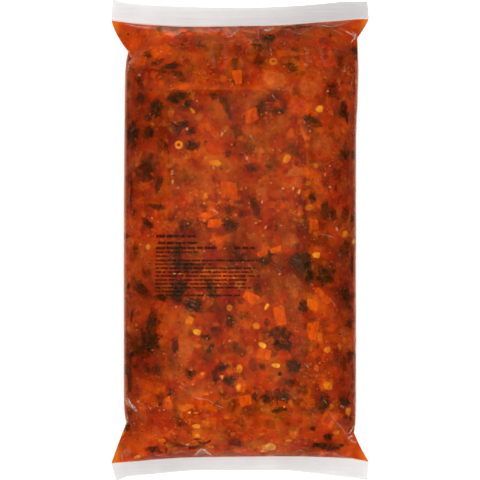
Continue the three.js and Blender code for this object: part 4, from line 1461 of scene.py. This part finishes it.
tomato = {
    "seed": 15,
    "thickness": 5,
    "corners": 5,
    "colours": [(0.19, 0.013, 0.006), (0.27, 0.018, 0.008), (0.38, 0.03, 0.008), (0.3, 0.024, 0.014)],
    "look": {"grain": 150, "ragged": 0.6, "torn": 0.4},
    "chanceSize": ((9, 20), (8, 15)),
    "chanceShow": (0.15, 0.5),
    "counts": {"onTop": 20, "offTop": 45},
    "atPhotoPixels": [
        (210, 254, 24, 16, 0, 0.75), (213, 198, 16, 14, 0, 0.6), (231, 391, 18, 14, -20, 0.7),
        (133, 152, 13, 17, 0, 0.5), (130, 70, 9, 9, 0, 0.4), (180, 320, 14, 12, 0, 0.35),
        (247, 92, 12, 8, 0, 0.35), (310, 316, 12, 10, 0, 0.4), (345, 270, 13, 19, 0, 0.35),
        (330, 170, 20, 15, 0, 0.3), (352, 70, 9, 12, 0, 0.4), (175, 435, 16, 14, 0, 0.3),
        (190, 240, 14, 10, 0, 0.3), (300, 205, 15, 23, 0, 0.3), (246, 44, 14, 14, 0, 0.45),
        (152, 85, 16, 12, 0, 0.3),
    ],
}
tomatoMaterial = vegetableMaterial("tomatoFlesh", tomato["colours"], **tomato["look"])
chance = random.Random(tomato["seed"])
batch = newBatch()
for x, y, across, along, turn, show in tomato["atPhotoPixels"]:
    size = (across, along, tomato["thickness"])
    addBit(batch, onFilm(x, y), size, turn, "slab", show, 0.55, 0.3, slabForm(chance, tomato["corners"]))
for where, count in tomato["counts"].items():
    for spot in chanceSpots(count, chance, where):
        size = chanceSize(chance, *tomato["chanceSize"], tomato["thickness"])
        show = chance.uniform(*tomato["chanceShow"])
        addBit(batch, spot, size, 0, "slab", show, 0.6, 0.3, slabForm(chance, tomato["corners"]))
finishBatch("tomatoPieces", batch, tomatoMaterial)

# Small rings of carrot peel and spring onion
rings = {
    "seed": 2,
    "thickness": 0.9,
    "depth": 0.05,
    "colours": [(0.66, 0.16, 0.008), (0.76, 0.22, 0.01), (0.82, 0.28, 0.018), (0.8, 0.3, 0.03)],
    "look": {"grain": 200, "ragged": 0.2},
    "scattered": {"count": 6, "across": 7.5, "show": 0.9},
    "atPhotoPixels": [(178.6, 144.8, 8, 1), (273.2, 61, 8, 0.5)],
}
ringMaterial = vegetableMaterial("ringFlesh", rings["colours"], **rings["look"])
chance = random.Random(rings["seed"])
scattered = rings["scattered"]
ringSpots = [(onFilm(x, y), across, show) for x, y, across, show in rings["atPhotoPixels"]]
for spot in chanceSpots(scattered["count"], chance, "offTop"):
    ringSpots.append((spot, scattered["across"], scattered["show"]))
batch = newBatch()
for spot, across, show in ringSpots:
    size = (across, across, rings["thickness"])
    addBit(batch, spot, size, 0, "ring", show, 0.1, 0.4, depth=rings["depth"])
finishBatch("smallRings", batch, ringMaterial)

# Seeds, crumbs of cabbage and other cream specks
seeds = {
    "seed": 21,
    "thickness": 1.1,
    "colours": [(0.48, 0.11, 0.02), (0.56, 0.17, 0.045), (0.62, 0.24, 0.09), (0.66, 0.36, 0.2)],
    "look": {"grain": 300, "ragged": 0.4},
    "atPhotoPixels": [
        (197, 101, 2.5, 2, 0), (328, 91, 3.5, 4, 0), (352, 83, 2, 4, 0), (222, 134, 3, 6, -20),
        (225, 131, 2, 2, 0), (172, 171.5, 4, 1.8, 30), (172, 173.8, 4, 1.8, 30), (172.5, 182, 3, 6, 0),
        (178, 188, 4, 2, 10), (190.5, 193, 2.5, 2.5, 0), (196.5, 195, 2.5, 2, 0), (227, 219, 3, 2.5, 0),
        (236, 215, 2.5, 3, 0), (188, 223.5, 2.5, 2, 0), (187, 129, 3, 4, 20), (266, 113, 2, 2, 0),
        (279.5, 112.5, 4, 2.2, -20), (310, 131, 2.5, 2.5, 0), (247, 158, 3, 4, -20),
        (273, 150, 2, 2, 0), (271, 183, 2, 1.5, 0), (246, 188, 2, 2, 0), (260, 221, 4, 1.8, 20),
        (256, 223, 3, 2, 10), (265.5, 227.5, 2.5, 4, -20), (249, 203, 2, 2, 0), (262, 202, 2, 4, 0),
        (141, 257, 2, 3.5, 0), (174.5, 273.5, 3.5, 2.5, 0), (180, 273.7, 4, 1.2, 0),
        (234, 278, 3, 2, 5), (279.5, 274, 3.5, 2.5, 20), (176, 307, 2.5, 3, 0), (136, 325, 4, 3.5, 0),
        (136.5, 330, 2, 2, 0), (207, 338.5, 2.5, 2, 0), (229, 318, 2.5, 2.5, 0),
        (229.5, 341, 3, 2.5, 0), (191.5, 370, 1.5, 1.5, 0), (137, 378.7, 3, 2.5, 0),
        (138, 401.6, 4, 3, 0), (180.7, 415, 2.5, 1.5, 0), (203, 438.3, 3, 1.5, 0),
        (187.5, 444.7, 5.5, 3, 15), (252, 450.5, 2.5, 3.5, 30), (211, 392.4, 2, 1.5, 0),
        (163.8, 410, 2, 2, 0), (330, 187, 3, 3, 0), (325, 175, 2, 4, 20), (330, 166, 2, 2, 0),
        (299, 193, 3, 2.5, 0), (293, 188.5, 3, 5, 0), (283, 188.5, 3, 2, 0), (337, 229, 3, 5, 20),
    ],
    # crumbs strewn over the larger leaves: place and reach in photo pixels, and how many
    "strewn": {"size": ((0.9, 2), (0.8, 1.5)), "show": (0.4, 0.9)},
    "strewnAtPhotoPixels": [
        (280, 339, 13, 22), (271, 104, 12, 18), (283, 396, 10, 9), (231, 383, 9, 8), (155, 210, 9, 5),
        (298, 261, 10, 9), (296, 367, 7, 9), (192, 224, 10, 8), (151, 338, 12, 7), (315, 290, 12, 8),
    ],
    "scattered": {"count": 680, "size": ((0.9, 2.6), (0.8, 1.8)), "show": (0.3, 1)},
}
seedMaterial = vegetableMaterial("seedsAndCrumbs", seeds["colours"], **seeds["look"])
chance = random.Random(seeds["seed"])
batch = newBatch()
for x, y, across, along, turn in seeds["atPhotoPixels"]:
    size = (across, along, seeds["thickness"])
    addBit(batch, onFilm(x, y), size, turn, "bead", 0.9, 0.5, 0.3 + 0.6 * chance.random())
strewn, scattered = seeds["strewn"], seeds["scattered"]
for x, y, reach, count in seeds["strewnAtPhotoPixels"]:
    for _ in range(count):
        spot = onFilm(x + chance.gauss(0, reach / 2), y + chance.gauss(0, reach / 2))
        size = chanceSize(chance, *strewn["size"], seeds["thickness"])
        turn, show = chance.uniform(0, 180), chance.uniform(*strewn["show"])
        addBit(batch, spot, size, turn, "bead", show, 0.5, 0.4 * chance.random())
for spot in chanceSpots(scattered["count"], chance):
    size = chanceSize(chance, *scattered["size"], seeds["thickness"])
    show, turn = chance.uniform(*scattered["show"]), chance.uniform(0, 180)
    addBit(batch, spot, size, turn, "bead", show, 0.5, 0.5 * chance.random())
finishBatch("seedsAndCrumbs", batch, seedMaterial)

herbs = {
    "seed": 44,
    "thickness": 0.8,
    "scattered": 900,
    "chanceSize": ((0.9, 3.6), (0.8, 1.9)),
    "chanceShow": (0.35, 1),
    "form": (0.2, 0.1),
}
chance = random.Random(herbs["seed"])
batch = newBatch()
for spot in chanceSpots(herbs["scattered"], chance):
    size = chanceSize(chance, *herbs["chanceSize"], herbs["thickness"])
    turn, show = chance.uniform(0, 180), chance.uniform(*herbs["chanceShow"])
    addBit(batch, spot, size, turn, "flake", show, 0.5, 0.2, leafForm(chance, *herbs["form"]))
finishBatch("herbFlecks", batch, leafMaterial)
print("soup pieces made")

# Film creases, swags along the seals and trapped air, each a thin ridge on the film that fades to its ends.
# The pale ones carry painted highlights, the darker ones painted shadows, and the glints are painted
# highlights
creases = {
    "seed": 77,
    "section": ((-1, -0.03), (-0.5, 0.05), (0, 0.11), (0.5, 0.05), (1, -0.03)),  # place across and height
    "spacing": 1.5,
    "waver": 0.25,
    # the points of each in photo pixels, its width in millimetres and its strength
    "highlightsAtPhotoPixels": [
        ([(270, 45), (272, 57)], 0.7, 0.6), ([(286, 40), (283, 46)], 0.6, 0.5),
        ([(272, 93), (274, 98), (283, 103)], 0.7, 0.6), ([(178.6, 385.5), (186, 391)], 0.7, 0.7),
        ([(192.5, 395.5), (199, 399), (206, 399), (213, 403)], 0.9, 0.7),
        ([(216, 405), (224, 408)], 0.8, 0.6), ([(281, 399), (286, 399)], 0.7, 0.8),
        ([(293, 397), (297, 399.5)], 0.6, 0.7), ([(210, 209), (215, 211), (219, 214)], 1.1, 0.9),
        ([(249, 134), (254, 141)], 0.9, 0.8), ([(279, 305.5), (283, 306.5)], 0.9, 0.8),
        ([(255, 315), (256, 318)], 0.8, 0.7), ([(250, 350), (252, 353)], 0.8, 0.6),
        ([(293, 187), (294, 190)], 0.8, 0.6), ([(296, 192), (299, 194)], 0.7, 0.6),
        ([(318, 234), (326, 235), (337, 239)], 0.8, 0.5), ([(174, 353.5), (175, 356)], 0.7, 0.7),
        ([(179, 355), (181, 357)], 0.7, 0.6), ([(305, 364), (309, 368)], 1.3, 0.7),
        ([(310.5, 375), (312, 377)], 0.9, 0.7), ([(313, 420), (315.5, 422)], 0.9, 0.7),
        ([(160, 51.5), (163, 52)], 0.8, 0.8), ([(213, 166), (214, 169)], 1.0, 0.8),
        ([(246, 158), (250, 163)], 0.7, 0.5), ([(276, 148), (282, 152)], 0.6, 0.5),
        ([(229, 128), (233, 134), (234, 140)], 0.6, 0.4), ([(300, 100), (306, 108)], 0.6, 0.35),
        ([(240, 55), (243, 68)], 0.7, 0.3), ([(248, 70), (252, 80)], 0.6, 0.3),
        ([(332, 300), (335, 306)], 0.7, 0.5), ([(205, 293), (209, 299)], 0.6, 0.5),
        ([(188, 299), (197, 303)], 0.6, 0.5), ([(190, 304), (198, 307)], 0.6, 0.45),
        ([(187, 308), (194, 311)], 0.6, 0.4), ([(292, 258), (300, 262)], 0.6, 0.4),
        ([(274, 268), (282, 272)], 0.6, 0.4), ([(246, 262), (254, 270)], 0.6, 0.4),
        ([(222, 361), (227, 366)], 0.7, 0.5), ([(288, 392), (293, 396)], 0.7, 0.5),
        ([(322, 397), (327, 404)], 0.7, 0.4), ([(268, 427), (276, 431)], 0.6, 0.3),
        ([(148, 404), (152, 412)], 0.7, 0.3), ([(340, 330), (343, 338)], 0.6, 0.3),
        # swags along the seals and folds at the corners, painted as highlights
        ([(160, 29), (167, 33), (173, 36), (178, 33.5), (185, 30)], 1.6, 0.5),
        ([(185, 30), (205, 32.5), (222, 31)], 2.2, 0.38),
        ([(222, 31), (230, 37), (238, 30)], 2.2, 0.45), ([(124, 24), (140, 27), (158, 28.5)], 1.4, 0.6),
        ([(262, 29), (268, 31), (274, 28)], 3.4, 0.9), ([(258, 28), (259, 37)], 1.0, 0.5),
        ([(313, 24), (332, 27), (350, 22)], 1.6, 0.4), ([(330, 28), (345, 36)], 2.4, 0.16),
        ([(338, 27), (352, 35)], 2.0, 0.16), ([(352, 31), (357, 38)], 1.8, 0.5),
        ([(240, 29), (255, 33), (262, 29)], 1.6, 0.3), ([(286, 30), (300, 34), (312, 28)], 1.8, 0.25),
        ([(195, 455), (202, 448.5), (212, 456)], 3.2, 1.2),
        ([(262, 457), (274, 454.5), (285, 453)], 1.6, 0.5),
        ([(312, 456), (330, 452), (345, 458)], 1.6, 0.4), ([(154, 455), (166, 455)], 1.6, 0.5),
        ([(170, 454), (184, 451), (193, 455)], 1.8, 0.3),
        ([(215, 456), (235, 452), (255, 457)], 2.0, 0.3),
        ([(290, 455), (300, 450), (309, 455)], 1.8, 0.35),
        ([(127, 398), (131, 405), (137, 412)], 5.5, 1.1), ([(126.5, 414), (128.5, 421)], 2.4, 0.8),
        ([(129, 403), (134, 406), (137, 410)], 1.4, 0.9), ([(121, 455), (131, 450)], 9, 0.13),
        ([(330, 413), (335, 421), (342, 428), (348, 437)], 1.4, 0.4),
        ([(349, 435), (354.5, 425)], 2.2, 0.9), ([(348, 438), (353, 436)], 3.0, 0.8),
        ([(347, 437), (352, 441), (357, 443)], 3.4, 0.5),
        ([(126.5, 49), (129.5, 53), (131, 58)], 2.0, 0.95),
        ([(130.5, 60), (128.5, 66), (127.5, 74)], 1.4, 0.8),
        ([(130, 57), (138, 52), (146, 50)], 1.4, 0.3), ([(121, 452), (122.5, 461)], 1.2, 0.5),
        ([(213, 44), (212, 56), (215, 70)], 5.0, 0.07), ([(224, 43), (226, 60), (224, 71)], 4.4, 0.06),
        ([(304, 44), (308, 58), (305, 71)], 5.2, 0.07), ([(318, 43), (322, 56), (327, 70)], 4.8, 0.07),
        ([(356, 33), (354, 39), (351, 43)], 2.0, 0.9), ([(344, 30), (351, 34), (356, 38)], 1.6, 0.6),
    ],
    # painted shadows in the folds and under the seal
    "shadowsAtPhotoPixels": [
        ([(129.6, 52), (130, 57), (129.4, 62)], 2.0, 1.0), ([(132, 408), (137, 414)], 1.6, 0.9),
        ([(129, 411), (127.5, 417)], 1.6, 0.7), ([(353.5, 428), (348, 437)], 2.4, 0.9),
        ([(344, 441), (350, 446)], 1.6, 0.5), ([(354.5, 36), (352, 45)], 1.8, 0.7),
        ([(272, 28), (293, 27.4), (316, 26)], 3.4, 1.0), ([(346.5, 100), (347, 125)], 1.6, 0.7),
        ([(349.5, 45), (350, 60)], 1.8, 0.5), ([(343.5, 104), (344, 116)], 1.2, 0.6),
    ],
    "scattered": {"count": 60, "length": (2, 9), "width": (0.4, 0.8), "strength": (0.1, 0.4)},
    "glints": {"count": 300, "length": (0.6, 1), "width": 0.8, "strength": (0.3, 1)},
}


def addCrease(batch, spots, width, strength, shaded=0):
    # spots are points along the film with their normals
    base, count = len(batch["points"]), len(spots)
    for index, (place, normal) in enumerate(spots):
        before, after = spots[max(0, index - 1)][0], spots[min(count - 1, index + 1)][0]
        sideways = normal.cross(after - before).normalized()
        taper = math.sin(math.pi * (index + 0.5) / count) ** 0.6
        for size, height in creases["section"]:
            point = place + sideways * size * width / 2 * (0.35 + 0.65 * taper)
            near, out = filmTree.find_nearest(point)[:2]
            batch["points"].append(near + out * height)
            batch["hazeAndPaintedLight"].append(strength * taper * (1 - size * size))
            batch["shaded"].append(shaded)
    batch["faces"] += (loopFaces(count, len(creases["section"]), closedLoop=False) + base).tolist()


def alongPixels(pixels, chance):
    spots, waver = [], creases["waver"]
    for (x0, y0), (x1, y1) in zip(pixels, pixels[1:]):
        steps = max(2, round(math.hypot(x1 - x0, y1 - y0) / creases["spacing"]))
        for step in range(steps):
            x, y = lerp(x0, x1, step / steps), lerp(y0, y1, step / steps)
            spots.append(onFilm(x + chance.uniform(-waver, waver), y + chance.uniform(-waver, waver)))
    spots.append(onFilm(*pixels[-1]))
    return [spot for spot in spots if spot[0] is not None]


def creaseLightAndShadeMaterial():
    material, tree = newMaterial("filmCreaseHighlightsAndShadows")
    place = objectPlace(tree)
    broken = remap(tree, noise(tree, place, 320, 3, 0.6), 0.35, 0.62, 0.25, 1)
    amount = times(tree, attribute(tree, "hazeAndPaintedLight"), broken, 0.7)
    # Painted highlights take a pale warm tone and painted shadows a dark one
    tone = ramp(tree, noise(tree, place, 60), [(0.3, (0.86, 0.56, 0.4)), (0.7, (0.92, 0.74, 0.6))])
    tone = mixColours(tree, attribute(tree, "shaded"), tone, (0.035, 0.009, 0.004))
    setSurface(tree, seeThrough(tree, amount, diffuse(tree, tone)))
    return material


chance = random.Random(creases["seed"])
batch = {"points": [], "faces": [], "hazeAndPaintedLight": [], "shaded": []}
for shaded, name in enumerate(("highlightsAtPhotoPixels", "shadowsAtPhotoPixels")):
    for pixels, width, strength in creases[name]:
        spots = alongPixels(pixels, chance)
        if len(spots) > 2:
            addCrease(batch, spots, width, strength, shaded)
scattered, glints = creases["scattered"], creases["glints"]
for place, normal in chanceSpots(scattered["count"], chance):
    heading = normal.cross(Vector([chance.uniform(-1, 1) for _ in range(3)])).normalized()
    length = chance.uniform(*scattered["length"])
    spots = onFilmNear([place + heading * length * step / 5 for step in range(6)])
    width, strength = chance.uniform(*scattered["width"]), chance.uniform(*scattered["strength"])
    addCrease(batch, spots, width, strength)
# Painted glints: small pale marks on film that faces upward
for place, normal in chanceSpots(glints["count"], chance, "upward"):
    heading = normal.cross(Vector((chance.uniform(-1, 1), chance.uniform(-1, 1), 0.1))).normalized()
    steps = [heading * chance.uniform(*glints["length"]) * step / 2 for step in range(3)]
    spots = onFilmNear([place + step for step in steps])
    addCrease(batch, spots, glints["width"], chance.uniform(*glints["strength"]))
creaseAttributes = {"hazeAndPaintedLight": batch["hazeAndPaintedLight"], "shaded": batch["shaded"]}
addPiece("filmCreaseHighlightsAndShadows", batch["points"], batch["faces"], creaseLightAndShadeMaterial(), creaseAttributes)

# Print: rows of plain dark bars of uneven length, in translucent ink on the film
inkPrint = {
    "seed": 5,
    "standsOut": 0.06,
    # heights are in millimetres; widths and gaps in photo pixels
    "bold": {"height": 2.8, "markWidth": (0.7, 1.8)},
    "plain": {"height": 1.9, "markWidth": (0.5, 1.5)},
    "heightShare": (0.72, 1),
    "waver": 0.12,
    "wordWidth": (3.5, 13),
    "wordGap": (0.9, 1.8),
    "markGap": (0.15, 0.4),
    # y, first x and last x, and whether it is bold
    "rowsAtPhotoPixels": [
        (236.2, 156, 196, True), (243, 157.5, 198, True), (248, 156, 217, True), (248, 235, 255, True),
        (252.2, 156, 198, False), (256.2, 156, 170, False), (260.4, 155.5, 256, False),
        (264.2, 155.5, 212, False), (268.2, 155.5, 256, False), (272.1, 155.5, 253, False),
        (276, 155.5, 260, False), (280, 155.5, 247, False), (283.9, 155.5, 245, False),
        (287.7, 155.5, 251, False), (291.5, 156, 184, False), (295.4, 156, 240, False),
    ],
}


def addBar(batch, x, y, width, height):
    # Each bar is a strip of short faces, so that it follows the film
    base = len(batch["points"])
    columns = 2 + int(width / 2)
    for column in range(columns + 1):
        for row in (-0.5, 0.5):
            rowY = y + row * height / shot["millimetresPerPixel"]
            place, normal = onFilm(x + column / columns * width, rowY)
            batch["points"].append(place + normal * inkPrint["standsOut"])
    batch["faces"] += (loopFaces(columns + 1, 2, closedLoop=False) + base).tolist()


def inkMaterial():
    material, tree = newMaterial("printingInk")
    worn = noise(tree, objectPlace(tree), 420, 3, 0.7)
    tone = ramp(tree, worn, [(0.3, (0.012, 0.006, 0.004)), (0.7, (0.03, 0.012, 0.007))])
    amount = remap(tree, worn, 0.35, 0.65, 0.92, 0.62)
    setSurface(tree, seeThrough(tree, amount, diffuse(tree, tone)))
    return material


chance = random.Random(inkPrint["seed"])
batch = {"points": [], "faces": []}
waver = inkPrint["waver"]
for y, first, last, bold in inkPrint["rowsAtPhotoPixels"]:
    style = inkPrint["bold" if bold else "plain"]
    x = first
    while x < last:
        word = min(chance.uniform(*inkPrint["wordWidth"]), last - x)
        mark = x
        while mark < x + word:
            width = chance.uniform(*style["markWidth"])
            height = style["height"] * chance.uniform(*inkPrint["heightShare"])
            addBar(batch, mark, y + chance.uniform(-waver, waver), min(width, x + word - mark), height)
            mark += width + chance.uniform(*inkPrint["markGap"])
        x += word + chance.uniform(*inkPrint["wordGap"])
addPiece("inkPrint", batch["points"], batch["faces"], inkMaterial())
print("film details made")
